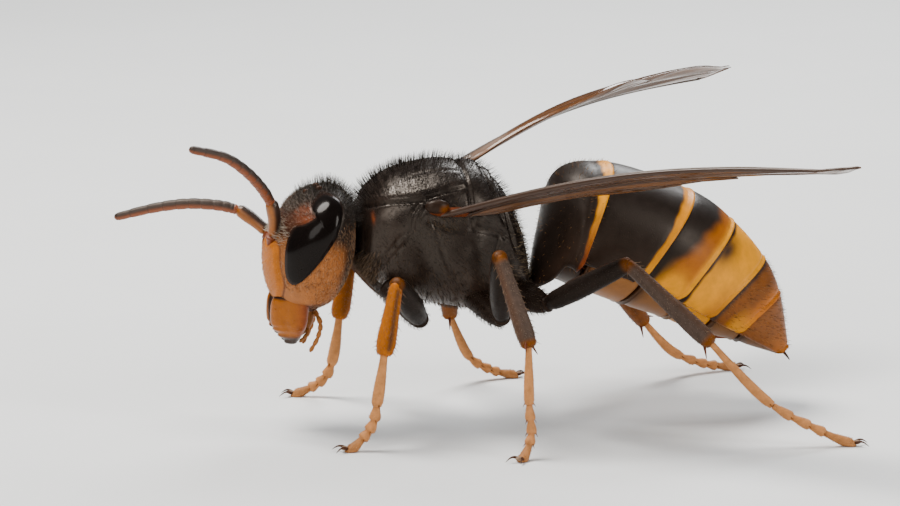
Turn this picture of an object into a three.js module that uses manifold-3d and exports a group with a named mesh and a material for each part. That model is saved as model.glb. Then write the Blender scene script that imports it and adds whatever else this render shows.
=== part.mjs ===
// A yellow-legged Asian hornet, life size, standing with its wings held out and folded lengthwise.
// Millimetres. X runs from the face to the tail, Y to the animal's right, Z up, the floor at Z 0.
import * as THREE from "three";
import { mergeVertices } from "three/addons/utils/BufferGeometryUtils.js";
import Module from "manifold-3d";

const wasm = await Module();
wasm.setup();

// Driving dimensions.
const GAP = 0.28; // between two plates or limb pieces that meet
const RIGHT = 1;
const LEFT = -1;

// The body's outline in the middle plane, from the face back. Each row is one station.
// Head, from the mouth up: height, face x, back x, half width.
const HEAD_KNOTS = [
  [5.9, -7.7, -6.5, 1.0],
  [6.35, -8.5, -5.8, 1.9],
  [7.4, -8.9, -5.15, 2.5],
  [8.6, -8.95, -4.85, 2.85],
  [9.7, -8.6, -4.8, 2.98],
  [10.7, -7.95, -4.85, 2.75],
  [11.4, -7.05, -5.2, 2.0],
  [11.72, -6.4, -5.8, 0.8],
];
// Thorax, from the collar back: x, top, bottom, half width.
const THORAX_KNOTS = [
  [-4.5, 10.7, 7.95, 1.55],
  [-4.2, 11.3, 7.45, 2.05],
  [-3.3, 12.15, 6.75, 2.5],
  [-1.9, 12.62, 6.1, 2.9],
  [-0.4, 12.78, 5.7, 3.0],
  [0.9, 12.5, 5.5, 2.85],
  [1.9, 11.95, 5.55, 2.5],
  [2.7, 10.9, 5.7, 2.05],
  [3.25, 9.6, 5.95, 1.6],
  [3.6, 8.3, 6.1, 1.1],
  [3.75, 7.3, 6.2, 0.65],
];
const THORAX_WIDEST = 0.66; // how far up the thorax it is widest
// Gaster, from the waist to the sting: top x, top z, bottom x, bottom z, half width, and how far
// forward a ring's sides are bent.
const GASTER_KNOTS = [
  [4.0, 6.95, 4.0, 6.15, 0.42, 0],
  [4.4, 9.0, 4.4, 6.35, 1.65, -0.4],
  [5.4, 11.85, 4.8, 6.75, 2.9, -0.45],
  [8.0, 12.2, 5.8, 6.35, 3.3, 0.5],
  [12.05, 10.7, 8.0, 5.45, 3.5, 0.45],
  [14.05, 9.2, 10.3, 4.6, 3.2, 0.6],
  [15.65, 7.3, 12.1, 3.85, 2.55, 0.7],
  [16.45, 5.5, 13.95, 3.25, 1.8, 0.6],
  [16.95, 2.75, 16.4, 2.4, 0.22, 0],
];
const TERGITE_ENDS = [3, 4, 5, 6, 7, 8]; // the knot at which each tergite ends
const TERGITE_STEP = 0.05; // how much narrower a tergite starts than the one before it ends

// The eye's kidney outline seen from the side, x and z, from the notch round the back.
const EYE_OUTLINE = [
  [-7.02, 10.6],
  [-7.12, 11.0],
  [-6.75, 11.4],
  [-6.3, 11.53],
  [-5.85, 11.25],
  [-5.82, 10.65],
  [-6.3, 9.5],
  [-7.1, 8.3],
  [-7.95, 7.4],
  [-8.36, 7.8],
  [-8.37, 9.0],
  [-8.02, 10.0],
  [-7.5, 10.28],
];
const EYE_POINTS = 22;
const EYE_PROUD = 0.14; // height of the eye over the head
const EYE_DEPTH = 0.75; // thickness of the eye
const EYE_INNER = 1.6; // how far from the middle plane the eye begins
const SOCKET_GAP = 0.26;

// The clypeus, the shield under the feelers: half widths at heights.
const CLYPEUS_OUTLINE = [
  [0.45, 9.55],
  [1.05, 9.1],
  [1.25, 8.2],
  [1.3, 7.2],
  [0.75, 6.35],
  [0.35, 6.15],
];
const CLYPEUS_PROUD = 0.14;

// Limbs: coxa root, trochanter, knee, ankle, end of the first tarsal piece, fourth, toe.
const LEGS = {
  left_fore: [
    [-3.3, -1.35, 6.95], [-1.95, -2.55, 5.4], [-3.74, -5.5, 7.85], [-4.4, -5.9, 4.7],
    [-4.75, -6.0, 2.5], [-5.05, -6.05, 1.2], [-5.95, -6.1, 0.18],
  ],
  left_mid: [
    [1.0, -1.4, 6.2], [1.95, -2.8, 5.35], [1.07, -6.2, 9.1], [2.05, -8.1, 5.25],
    [1.92, -8.8, 2.6], [1.95, -9.15, 1.15], [1.5, -9.6, 0.18],
  ],
  left_hind: [
    [3.0, -1.25, 6.3], [4.15, -2.45, 5.9], [7.4, -5.75, 8.4], [10.8, -8.15, 5.0],
    [13.4, -9.0, 2.2], [15.9, -9.6, 0.75], [17.2, -9.85, 0.18],
  ],
  right_fore: [
    [-3.3, 1.35, 6.95], [-1.95, 2.55, 5.4], [-3.9, 5.0, 7.3], [-4.45, 5.3, 4.2],
    [-4.75, 5.5, 2.0], [-5.2, 5.75, 0.9], [-6.35, 6.1, 0.18],
  ],
  right_mid: [
    [1.0, 1.4, 6.2], [1.95, 2.8, 5.35], [1.05, 5.7, 8.0], [1.5, 7.1, 3.6],
    [2.5, 7.6, 1.45], [3.6, 7.9, 0.6], [4.85, 8.05, 0.18],
  ],
  right_hind: [
    [3.0, 1.25, 6.3], [4.15, 2.45, 5.9], [7.6, 4.7, 7.4], [11.3, 6.4, 3.0],
    [12.9, 6.9, 1.3], [14.6, 7.3, 0.5], [16.2, 7.5, 0.18],
  ],
};
// Radii: coxa, trochanter, femur, knee, tibia end, first tarsal piece, toe.
const LEG_RADII = {
  fore: [0.62, 0.42, 0.58, 0.36, 0.46, 0.29, 0.27],
  mid: [0.66, 0.42, 0.55, 0.36, 0.44, 0.25, 0.26],
  hind: [0.68, 0.42, 0.52, 0.36, 0.44, 0.25, 0.26],
};
const SPUR_LENGTH = 0.75;
const SPUR_RADIUS = 0.13;
const SPUR_LEAN = 0.75;
const CLAW_LENGTH = 0.5;
const CLAW_RADIUS = 0.11;
const TARSAL_PIECES = 5;

// Feelers: root, elbow, then points along the lash to its tip.
const FEELERS = {
  left: [
    [-8.75, -0.55, 9.35], [-8.95, -1.25, 11.15], [-9.5, -1.9, 12.0], [-10.35, -2.55, 12.95],
    [-11.5, -3.25, 13.8], [-13.15, -4.0, 14.35],
  ],
  right: [
    [-8.75, 0.55, 9.35], [-10.05, 1.3, 10.4], [-11.0, 1.6, 10.62], [-12.4, 2.05, 10.68],
    [-13.9, 2.6, 10.45], [-15.7, 3.25, 9.95],
  ],
};
const COLLAR_HEIGHT = 0.12;
const SCAPE_RADIUS = 0.26;
const LASH_RADIUS = 0.27;
const LASH_PIECES = 11;

// Wings: root, tip, the way from the front edge to the back edge, and how far the middle bows up.
const WINGS = {
  left: { root: [-0.7, -3.35, 10.72], tip: [15.55, -16.2, 14.6], chord: [0.6, 0.77, -0.24], bow: 0.8 },
  right: { root: [-0.7, 3.35, 10.9], tip: [17.6, 13.9, 14.5], chord: [0.54, -0.79, 0.5], bow: 0.95 },
};
const WING_STEPS = 22;
const FOREWING = [
  [0, 0.7],
  [0.12, 1.35],
  [0.35, 2.5],
  [0.6, 3.1],
  [0.82, 2.6],
  [0.95, 1.5],
  [1, 0.5],
]; // share of the length, chord
const HINDWING_SHARE = 0.66; // its length beside the forewing's
const HINDWING = [
  [0, 0.5],
  [0.2, 1.3],
  [0.55, 2.1],
  [0.85, 1.5],
  [1, 0.45],
];
const WING_THICK = 0.5;
const VEIN_RAISE = 0.1;
const VEIN_WIDTH = 0.06;
const COSTA_WIDTH = 0.14;
const COSTA_RAISE = 0.22; // the thick vein bundle along the front edge
const SAG = 0.35; // how far the hindwing hangs under the forewing's back edge

const vec = (p) => new THREE.Vector3(p[0], p[1], p[2]);
const lerp = THREE.MathUtils.lerp;

// A smooth curve through rows of numbers, read at a share t of the way along the rows.
function rowsAt(rows, t) {
  const last = rows.length - 1;
  const place = THREE.MathUtils.clamp(t, 0, 1) * last;
  const i = Math.min(Math.floor(place), last - 1);
  const f = place - i;
  const at = (k) => rows[THREE.MathUtils.clamp(k, 0, last)];
  return rows[0].map((_, c) => {
    const [a, b, d, e] = [at(i - 1)[c], at(i)[c], at(i + 1)[c], at(i + 2)[c]];
    const m = (d - a) / 2;
    const n = (e - b) / 2;
    return (
      (2 * f ** 3 - 3 * f ** 2 + 1) * b +
      (f ** 3 - 2 * f ** 2 + f) * m +
      (-2 * f ** 3 + 3 * f ** 2) * d +
      (f ** 3 - f ** 2) * n
    );
  });
}

// The value of a smooth curve through [place, value] rows at a given place.
function valueAt(rows, x) {
  let i = 0;
  while (i < rows.length - 2 && x > rows[i + 1][0]) i += 1;
  const f = (x - rows[i][0]) / (rows[i + 1][0] - rows[i][0]);
  return rowsAt(rows, (i + THREE.MathUtils.clamp(f, 0, 1)) / (rows.length - 1))[1];
}

// A closed mesh over rings of equally many points, with a fan over each end.
function loft(rings) {
  const n = rings[0].length;
  const points = rings.flat();
  const middle = (ring) =>
    ring.reduce((s, p) => s.add(p), new THREE.Vector3()).divideScalar(n);
  const first = points.push(middle(rings[0])) - 1;
  const last = points.push(middle(rings[rings.length - 1])) - 1;
  const faces = [];
  for (let r = 0; r + 1 < rings.length; r += 1)
    for (let k = 0; k < n; k += 1) {
      const a = r * n + k;
      const b = r * n + ((k + 1) % n);
      faces.push(a, b, b + n, a, b + n, a + n);
    }
  const end = (rings.length - 1) * n;
  for (let k = 0; k < n; k += 1) {
    faces.push(first, (k + 1) % n, k);
    faces.push(last, end + k, end + ((k + 1) % n));
  }
  const geometry = new THREE.BufferGeometry().setFromPoints(points);
  geometry.setIndex(faces);
  return geometry;
}

// A solid from a closed mesh, turned the right way out.
function solid(geometry) {
  const bare = geometry.clone();
  bare.deleteAttribute("normal");
  bare.deleteAttribute("uv");
  const merged = mergeVertices(bare, 1e-4);
  const vertProperties = merged.attributes.position.array;
  const triVerts = new Uint32Array(merged.index.array);
  const made = new wasm.Manifold(new wasm.Mesh({ numProp: 3, vertProperties, triVerts }));
  if (made.volume() > 0) return made;
  for (let i = 0; i < triVerts.length; i += 3)
    [triVerts[i + 1], triVerts[i + 2]] = [triVerts[i + 2], triVerts[i + 1]];
  return new wasm.Manifold(new wasm.Mesh({ numProp: 3, vertProperties, triVerts }));
}

// The mesh of a solid's largest closed surface.
function meshOf(made) {
  const [largest] = made.decompose().sort((a, b) => b.volume() - a.volume());
  const { numProp, vertProperties, triVerts } = largest.getMesh();
  const places = new Float32Array((vertProperties.length / numProp) * 3);
  for (let i = 0; i * numProp < vertProperties.length; i += 1)
    places.set(vertProperties.subarray(i * numProp, i * numProp + 3), i * 3);
  return new THREE.BufferGeometry()
    .setAttribute("position", new THREE.BufferAttribute(places, 3))
    .setIndex(new THREE.BufferAttribute(triVerts, 1));
}

const join = (solids) => solids.reduce((a, b) => a.add(b));

// An oval ring about a centre: side and up are the axes, with a radius each way along them.
function ovalRing(centre, side, up, halfWidth, above, below, sides, power = 1) {
  return Array.from({ length: sides }, (_, k) => {
    const angle = (2 * Math.PI * k) / sides;
    const round = (v) => Math.sign(v) * Math.abs(v) ** power;
    const c = round(Math.cos(angle));
    const s = round(Math.sin(angle));
    return centre
      .clone()
      .addScaledVector(side, halfWidth * c)
      .addScaledVector(up, (s > 0 ? above : below) * s);
  });
}

// A tapering limb: round rings along a smooth path, with radii from rows of [share, radius].
function limb(places, radii, steps, sides, grow = 0) {
  const ends = grow
    ? [
        towards(places[0], places[1], -grow),
        ...places.slice(1, -1),
        towards(places.at(-1), places.at(-2), -grow),
      ]
    : places;
  const curve = new THREE.CatmullRomCurve3(ends.map(vec), false, "centripetal");
  const frames = curve.computeFrenetFrames(steps, false);
  const rings = [];
  for (let i = 0; i <= steps; i += 1) {
    const r = valueAt(radii, i / steps) + grow;
    const at = curve.getPointAt(i / steps);
    rings.push(ovalRing(at, frames.normals[i], frames.binormals[i], r, r, r, sides));
  }
  return solid(loft(rings));
}

// A point a given distance from a towards b.
const towards = (a, b, distance) =>
  vec(a).addScaledVector(vec(b).sub(vec(a)).normalize(), distance).toArray();

// Materials, one for each kind of surface.
const paint = (color, roughness) =>
  new THREE.MeshStandardMaterial({ color, roughness, metalness: 0 });
const DARK_SHELL = paint(0x1d1512, 0.42);
const FACE_ORANGE = paint(0xb5601d, 0.5);
const EYE_BROWN = paint(0x1a100c, 0.15);
const LEG_YELLOW = paint(0xd9985a, 0.55);
const SHIN_BROWN = paint(0x4a3527, 0.6);
const FEELER_BROWN = paint(0x4a1f10, 0.5);
const BAND_ORANGE = paint(0xd48a1e, 0.45);
const WING_AMBER = paint(0x6b4426, 0.3);

const hornet = new THREE.Group();
function put(name, made, material) {
  const mesh = new THREE.Mesh(meshOf(made), material);
  mesh.name = name;
  hornet.add(mesh);
}

// The head's surface, grown outwards by a distance. Its slices are flat ovals, blunter at the face.
function headSolid(grow, sides = 30, steps = 13) {
  const rings = [];
  for (let i = 0; i <= steps; i += 1) {
    const t = i / steps;
    const [z, face, back, half] = rowsAt(HEAD_KNOTS, t);
    const lift = grow * Math.sin(Math.PI * (t - 0.5));
    const middle = lerp(face, back, 0.52);
    const centre = new THREE.Vector3(middle, 0, z + lift);
    rings.push(
      ovalRing(
        centre,
        new THREE.Vector3(0, 1, 0),
        new THREE.Vector3(-1, 0, 0),
        half + grow,
        middle - face + grow,
        back - middle + grow,
        sides,
        0.88,
      ),
    );
  }
  return solid(loft(rings));
}

// A flat outline pulled into a prism along Y, from one Y to another.
function sidePrism(outline, from, to, grow) {
  const curve = new THREE.CatmullRomCurve3(
    outline.map(([x, z]) => new THREE.Vector3(x, z, 0)),
    true,
  );
  const shape = new THREE.Shape(
    Array.from({ length: EYE_POINTS }, (_, k) => {
      const p = curve.getPoint(k / EYE_POINTS);
      const along = curve.getTangent(k / EYE_POINTS);
      return new THREE.Vector2(p.x - grow * along.y, p.y + grow * along.x);
    }),
  );
  const prism = new THREE.ExtrudeGeometry(shape, {
    depth: Math.abs(to - from),
    bevelEnabled: false,
  });
  prism.rotateX(Math.PI / 2);
  prism.translate(0, Math.max(from, to), 0);
  return solid(prism);
}

function makeHead() {
  let head = headSolid(0);
  const grown = headSolid(EYE_PROUD);
  const floorOfSocket = headSolid(-EYE_DEPTH - SOCKET_GAP);
  const backOfEye = headSolid(-EYE_DEPTH);
  for (const side of [LEFT, RIGHT]) {
    const prism = (from, grow) => sidePrism(EYE_OUTLINE, side * from, side * 4, grow);
    head = head.subtract(prism(EYE_INNER - SOCKET_GAP, SOCKET_GAP).subtract(floorOfSocket));
    const eye = grown.intersect(prism(EYE_INNER, 0)).subtract(backOfEye);
    put(side === LEFT ? "eye_left" : "eye_right", eye, EYE_BROWN);
  }
  // The clypeus is a shield-shaped plate raised on the face.
  const edge = new THREE.CatmullRomCurve3(
    [
      ...CLYPEUS_OUTLINE.map(([y, z]) => new THREE.Vector3(y, z, 0)),
      ...CLYPEUS_OUTLINE.map(([y, z]) => new THREE.Vector3(-y, z, 0)).reverse(),
    ],
    true,
  );
  const shield = new THREE.ExtrudeGeometry(
    new THREE.Shape(edge.getPoints(20).slice(0, -1).map((p) => new THREE.Vector2(p.x, p.y))),
    { depth: 3, bevelEnabled: false },
  );
  shield.rotateX(Math.PI / 2);
  shield.rotateZ(Math.PI / 2);
  shield.translate(-10, 0, 0);
  head = head.add(solid(shield).intersect(headSolid(CLYPEUS_PROUD)));
  // Three small simple eyes stand in a triangle on the crown.
  for (const [x, y, z] of [[-7.05, 0, 11.42], [-6.5, 0.42, 11.62], [-6.5, -0.42, 11.62]]) {
    const bead = new THREE.SphereGeometry(0.19, 8, 5);
    bead.translate(x, y, z);
    head = head.add(solid(bead));
  }
  // A low collar carries each feeler.
  for (const name of ["left", "right"]) {
    const [root, elbow] = FEELERS[name];
    const collar = [towards(root, elbow, -0.45), towards(root, elbow, COLLAR_HEIGHT)];
    head = head.add(limb(collar, [[0, 0.42], [1, 0.32]], 1, 10));
  }
  put("head", head, FACE_ORANGE);
}

// What stays clear of the head by the usual gap.
const clearOfHead = (made) => made.subtract(headSolid(Math.max(GAP, CLYPEUS_PROUD + GAP)));

function makeMouth() {
  for (const [name, side] of [["left", LEFT], ["right", RIGHT]]) {
    const rows = [
      // height, front x and y, back x and y, half the thickness
      [6.2, -8.7, 0.6, -7.15, 1.6, 0.42],
      [5.1, -8.85, 0.45, -7.2, 1.45, 0.45],
      [4.5, -8.7, 0.38, -7.5, 1.05, 0.36],
      [4.0, -8.3, 0.34, -7.7, 0.65, 0.24],
    ];
    const rings = Array.from({ length: 7 }, (_, i) => {
      const [z, frontX, frontY, backX, backY, thick] = rowsAt(rows, i / 6);
      const front = new THREE.Vector3(frontX, side * frontY, z);
      const back = new THREE.Vector3(backX, side * backY, z);
      const centre = front.clone().add(back).divideScalar(2);
      const along = back.clone().sub(front);
      const reach = along.length() / 2;
      along.normalize();
      const across = new THREE.Vector3(-along.y, along.x, 0);
      return ovalRing(centre, along, across, reach, thick, thick, 12, 0.8);
    });
    put(`mandible_${name}`, clearOfHead(solid(loft(rings))), FACE_ORANGE);
  }
  // The lower lip, with two pairs of palps hanging from it.
  const lip = limb([[-6.75, 0, 6.0], [-6.85, 0, 4.75]], [[0, 0.5], [1, 0.32]], 3, 10);
  const palps = [LEFT, RIGHT].map((side) =>
    limb(
      [
        [-6.75, side * 0.3, 5.45], [-6.6, side * 0.85, 5.0],
        [-6.75, side * 1.0, 4.4], [-7.1, side * 1.0, 3.85],
      ],
      [[0, 0.25], [1, 0.12]],
      6,
      7,
    ),
  );
  put("mouthparts", clearOfHead(join([lip, ...palps])), FACE_ORANGE);
}

function makeFeelers() {
  for (const name of ["left", "right"]) {
    const [root, elbow, ...lash] = FEELERS[name];
    const start = towards(root, elbow, COLLAR_HEIGHT + GAP);
    const scape = (grow) =>
      limb([start, elbow], [[0, SCAPE_RADIUS], [0.7, SCAPE_RADIUS * 1.2], [1, SCAPE_RADIUS]], 5, 10, grow);
    put(`scape_${name}`, scape(0).subtract(headSolid(GAP)), FEELER_BROWN);
    // The lash is a row of short drums, each a little wider at its far end.
    const path = [towards(elbow, lash[0], SCAPE_RADIUS * 0.7), ...lash];
    const radii = [];
    for (let k = 0; k < LASH_PIECES; k += 1) {
      const taper = k < 1 ? 0.85 : 1 - 0.18 * (k / LASH_PIECES) ** 3;
      radii.push([k / LASH_PIECES, LASH_RADIUS * taper * 0.9]);
      radii.push([(k + 0.85) / LASH_PIECES, LASH_RADIUS * taper]);
    }
    radii.push([1, LASH_RADIUS * 0.45]);
    const whole = limb(path, radii, LASH_PIECES * 2, 8);
    put(`flagellum_${name}`, whole.subtract(scape(GAP)), FEELER_BROWN);
  }
}

function thoraxRing(t, grow = 0) {
  const [x, top, bottom, half] = rowsAt(THORAX_KNOTS, t);
  const middle = lerp(bottom, top, THORAX_WIDEST);
  return ovalRing(
    new THREE.Vector3(x, 0, middle),
    new THREE.Vector3(0, 1, 0),
    new THREE.Vector3(0, 0, 1),
    half + grow,
    top - middle + grow,
    middle - bottom + grow,
    26,
    0.92,
  );
}

function thoraxSolid(grow) {
  const steps = 18;
  const rings = Array.from({ length: steps + 1 }, (_, i) => thoraxRing(i / steps, grow));
  return solid(loft(rings));
}
const clearOfThorax = thoraxSolid(GAP);

// A wall across the body, leaning in the middle plane, used to part plates.
function wallAt(x, z, leanDegrees) {
  const wall = new THREE.BoxGeometry(GAP, 12, 16);
  wall.rotateY(THREE.MathUtils.degToRad(leanDegrees));
  wall.translate(x, 0, z);
  return solid(wall);
}

function makeThorax() {
  let thorax = thoraxSolid(0);
  // The scutellum and the plate behind it stand up as low cushions.
  for (const [x, z, long, wide, high] of [[1.35, 11.55, 0.85, 1.5, 0.85], [2.35, 10.75, 0.5, 1.3, 0.6]]) {
    const cushion = new THREE.SphereGeometry(1, 18, 10);
    cushion.scale(long, wide, high);
    cushion.rotateY(THREE.MathUtils.degToRad(38));
    cushion.translate(x, 0, z);
    thorax = thorax.add(solid(cushion));
  }
  // Two leaning walls part it into collar, middle and rear.
  const walls = [wallAt(-2.75, 9.2, 24), wallAt(2.0, 9.2, -14)];
  const parts = thorax
    .subtract(join(walls))
    .decompose()
    .sort((a, b) => a.boundingBox().min[0] - b.boundingBox().min[0]);
  ["pronotum", "mesothorax", "propodeum"].forEach((name, i) => put(name, parts[i], DARK_SHELL));
  for (const [name, side] of [["left", LEFT], ["right", RIGHT]])
    put(`tegula_${name}`, tegulaSolid(side, 0).subtract(clearOfThorax), FEELER_BROWN);
}

// The small cap over a wing's root.
function tegulaSolid(side, grow) {
  const cap = new THREE.SphereGeometry(1, 12, 7);
  cap.scale(0.62 + grow, 0.3 + grow, 0.42 + grow);
  cap.translate(-1.35, side * 3.35, 11.15);
  return solid(cap);
}

const gasterRow = (place) => rowsAt(GASTER_KNOTS, place / (GASTER_KNOTS.length - 1));

function gasterRing(place, shrink = 0) {
  const [topX, topZ, lowX, lowZ, half, bend] = gasterRow(place);
  const top = new THREE.Vector3(topX, 0, topZ);
  const low = new THREE.Vector3(lowX, 0, lowZ);
  const up = top.clone().sub(low);
  const height = up.length();
  up.normalize();
  const middle = low.addScaledVector(up, height * 0.5);
  const reach = height / 2 - shrink;
  const ring = ovalRing(
    middle,
    new THREE.Vector3(0, 1, 0),
    up,
    half - shrink,
    reach,
    reach,
    26,
    0.96,
  );
  for (const point of ring) point.x -= bend * (point.y / half) ** 2;
  return ring;
}

function makeGaster() {
  let start = 0;
  TERGITE_ENDS.forEach((end, i) => {
    // The plates close up underneath, so the gap is measured there.
    const near = gasterRow(start);
    const next = gasterRow(start + 0.1);
    const pace = Math.hypot(next[2] - near[2], next[3] - near[3]) / 0.1;
    const back = i === 0 ? 0 : GAP / pace;
    const shrink = i === 0 ? 0 : TERGITE_STEP;
    const steps = i === 0 ? 9 : 3;
    const rings = Array.from({ length: steps + 1 }, (_, k) =>
      gasterRing(lerp(start + back, end, k / steps), shrink * (1 - k / steps)),
    );
    const material = i === 3 ? BAND_ORANGE : i > 3 ? FEELER_BROWN : DARK_SHELL;
    put(`gaster_${i + 1}`, solid(loft(rings)), material);
    start = end;
  });
}

// A small tapering spine from a point, along a direction.
function spine(root, direction, length, radius) {
  const way = vec(direction).normalize();
  const tip = vec(root).addScaledVector(way, length).toArray();
  return limb([root, tip], [[0, radius], [1, radius * 0.35]], 2, 6);
}

function makeLegs() {
  const aboveFloor = new THREE.BoxGeometry(80, 80, 40);
  aboveFloor.translate(0, 0, 20);
  const room = solid(aboveFloor);
  for (const [name, [root, hip, knee, ankle, first, fourth, toe]] of Object.entries(LEGS)) {
    const kind = name.split("_")[1];
    const [coxaR, hipR, thighR, kneeR, shinR, footR, toeR] = LEG_RADII[kind];
    const coxa = (grow) =>
      limb([root, hip], [[0, coxaR], [0.6, coxaR * 0.9], [1, hipR]], 4, 10, grow);
    put(`coxa_${name}`, coxa(0).subtract(clearOfThorax), DARK_SHELL);
    const thigh = [[0, hipR * 0.9], [0.35, thighR], [0.75, thighR * 0.85], [1, kneeR]];
    const femur = (grow) => limb([hip, knee], thigh, 6, 10, grow);
    put(`femur_${name}`, femur(0).subtract(coxa(GAP)).subtract(clearOfThorax), DARK_SHELL);
    const calf = [[0, kneeR * 0.8], [0.2, kneeR * 0.95], [0.8, shinR], [1, shinR * 0.85]];
    const shin = (grow) => limb([towards(knee, ankle, kneeR * 0.5), ankle], calf, 5, 10, grow);
    // Two spurs stand at the shin's end, one each side of the foot.
    const down = vec(ankle).sub(vec(knee)).normalize();
    const toFoot = vec(first).sub(vec(ankle)).normalize();
    const aside = down.clone().cross(toFoot).normalize();
    const spurs = (grow) =>
      [-1, 1].map((sign) => {
        const way = down.clone().addScaledVector(aside, sign * SPUR_LEAN);
        const from = vec(towards(ankle, knee, 0.15)).addScaledVector(aside, sign * shinR * 0.5);
        return spine(from.toArray(), way.toArray(), SPUR_LENGTH + grow, SPUR_RADIUS + grow);
      });
    const hasSpurs = kind !== "fore";
    const tibia = join([shin(0), ...(hasSpurs ? spurs(0) : [])]);
    put(`tibia_${name}`, tibia.subtract(femur(GAP)), SHIN_BROWN);
    // The foot is five pieces, each flared at its far end, with two claws on the last.
    const footStart = towards(ankle, first, GAP);
    const flares = [0, 0.5, 0.62, 0.73, 0.82, 1];
    const radii = [];
    for (let k = 0; k < TARSAL_PIECES; k += 1) {
      const wide = lerp(footR, toeR, k / TARSAL_PIECES) * (k === 0 ? 1 : 1.12);
      radii.push([flares[k], wide * 0.85]);
      radii.push([lerp(flares[k], flares[k + 1], 0.85), wide]);
    }
    radii.push([1, toeR * 0.8]);
    const flat = [toe[0] * 2 - fourth[0], toe[1] * 2 - fourth[1], toe[2]];
    const end = towards(toe, flat, 0.35);
    const foot = limb([footStart, first, fourth, toe, end], radii, 16, 8);
    const ahead = vec(end).sub(vec(fourth)).setZ(0).normalize();
    const claws = [-1, 1].map((side) => {
      const across = new THREE.Vector3(-ahead.y, ahead.x, 0).multiplyScalar(side * 0.13);
      const from = vec(end).add(across).toArray();
      return spine(
        from,
        [ahead.x + across.x * 3, ahead.y + across.y * 3, -0.25],
        CLAW_LENGTH,
        CLAW_RADIUS,
      );
    });
    const shinEnd = join([shin(GAP), ...(hasSpurs ? spurs(GAP * 0.7) : [])]);
    const tarsus = join([foot, ...claws]).subtract(shinEnd).intersect(room);
    put(`tarsus_${name}`, tarsus, LEG_YELLOW);
  }
}

// A blade with the main veins raised in its upper and lower faces. Each vein is a column of points
// between two lower columns, so a ridge runs smoothly along the blade.
function blade({ root, tip, chord, bow }, share, widths, offset, drop, veins) {
  const along = vec(tip).sub(vec(root));
  const length = along.length() * share;
  along.normalize();
  const across = vec(chord);
  across.addScaledVector(along, -across.dot(along)).normalize();
  const normal = across.clone().cross(along).normalize();
  if (normal.z < 0) normal.negate();
  const rings = [];
  for (let i = 0; i <= WING_STEPS; i += 1) {
    const t = i / WING_STEPS;
    const wide = valueAt(widths, t);
    const centre = vec(root)
      .addScaledVector(along, length * t)
      .addScaledVector(normal, bow * Math.sin(Math.PI * Math.min(t * share * 1.1, 1)) - drop)
      .addScaledVector(across, offset(t * share));
    const columns = [[0, 0], [0.4 * COSTA_WIDTH, COSTA_RAISE], [COSTA_WIDTH, 0]];
    for (const vein of veins) {
      const place = lerp(COSTA_WIDTH, 1, vein(t));
      columns.push([place - VEIN_WIDTH, 0], [place, VEIN_RAISE], [place + VEIN_WIDTH, 0]);
    }
    columns.push([1, 0]);
    const point = ([place, raise], face) =>
      centre
        .clone()
        .addScaledVector(across, wide * place)
        .addScaledVector(normal, face * (WING_THICK / 2 + raise));
    const upper = columns.map((column) => point(column, 1));
    const lower = columns.map((column) => point(column, -1)).reverse();
    rings.push([...upper, ...lower]);
  }
  return solid(loft(rings));
}

function makeWings() {
  for (const [name, side] of [["left", LEFT], ["right", RIGHT]]) {
    const wing = WINGS[name];
    // Each vein's place between the front edge and the back edge, along the wing.
    const foreVeins = [(t) => 0.22 + 0.1 * t, (t) => 0.6 + 0.12 * Math.sin(3 * t)];
    const hindVeins = [(t) => 0.3 + 0.15 * t];
    const fore = blade(wing, 1, FOREWING, () => 0, 0, foreVeins);
    const clear = clearOfThorax.add(tegulaSolid(side, GAP));
    put(`forewing_${name}`, fore.subtract(clear), WING_AMBER);
    const behind = (t) => valueAt(FOREWING, t) + GAP;
    const hind = blade(wing, HINDWING_SHARE, HINDWING, behind, SAG, hindVeins);
    put(`hindwing_${name}`, hind.subtract(clearOfThorax), WING_AMBER);
  }
}

makeHead();
makeMouth();
makeFeelers();
makeThorax();
makeGaster();
makeLegs();
makeWings();

// The frame's origin is the middle of the footprint box, on the floor.
const box = new THREE.Box3().setFromObject(hornet);
hornet.position.set(-(box.min.x + box.max.x) / 2, -(box.min.y + box.max.y) / 2, -box.min.z);

export default hornet;
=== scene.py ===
"""A yellow-legged Asian hornet, life size, standing with its wings held out and folded lengthwise.

Shapes are worked out in millimetres in the body's own axes: X from the face to the tail, Y to
the animal's right, Z up, the floor at Z 0, with Y 0 in the body's middle plane. One shift, read
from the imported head, puts them into the frame.
"""

import bpy
import numpy as np
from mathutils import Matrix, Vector


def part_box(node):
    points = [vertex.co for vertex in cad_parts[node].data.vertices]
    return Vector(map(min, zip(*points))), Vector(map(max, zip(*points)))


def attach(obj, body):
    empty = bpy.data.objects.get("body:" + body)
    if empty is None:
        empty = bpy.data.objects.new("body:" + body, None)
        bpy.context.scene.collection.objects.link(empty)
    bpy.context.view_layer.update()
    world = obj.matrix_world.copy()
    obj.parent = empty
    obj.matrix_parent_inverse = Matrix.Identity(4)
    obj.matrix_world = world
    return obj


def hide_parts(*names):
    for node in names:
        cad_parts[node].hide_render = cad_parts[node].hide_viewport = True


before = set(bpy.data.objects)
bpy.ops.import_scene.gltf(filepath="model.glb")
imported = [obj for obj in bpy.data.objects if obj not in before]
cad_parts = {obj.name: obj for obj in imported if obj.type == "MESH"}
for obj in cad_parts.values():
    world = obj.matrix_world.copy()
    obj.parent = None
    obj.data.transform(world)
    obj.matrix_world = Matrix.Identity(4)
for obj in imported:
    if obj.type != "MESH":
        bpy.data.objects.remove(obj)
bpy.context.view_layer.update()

bl_info = {
    "name": "Hornet model",
    "version": (1, 0, 0),
    "blender": (4, 5, 0),
    "location": "3D View > Sidebar > Hornet",
    "description": "Builds the skin, coat, wings and stage of a life-size hornet",
    "category": "Object",
}

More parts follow.
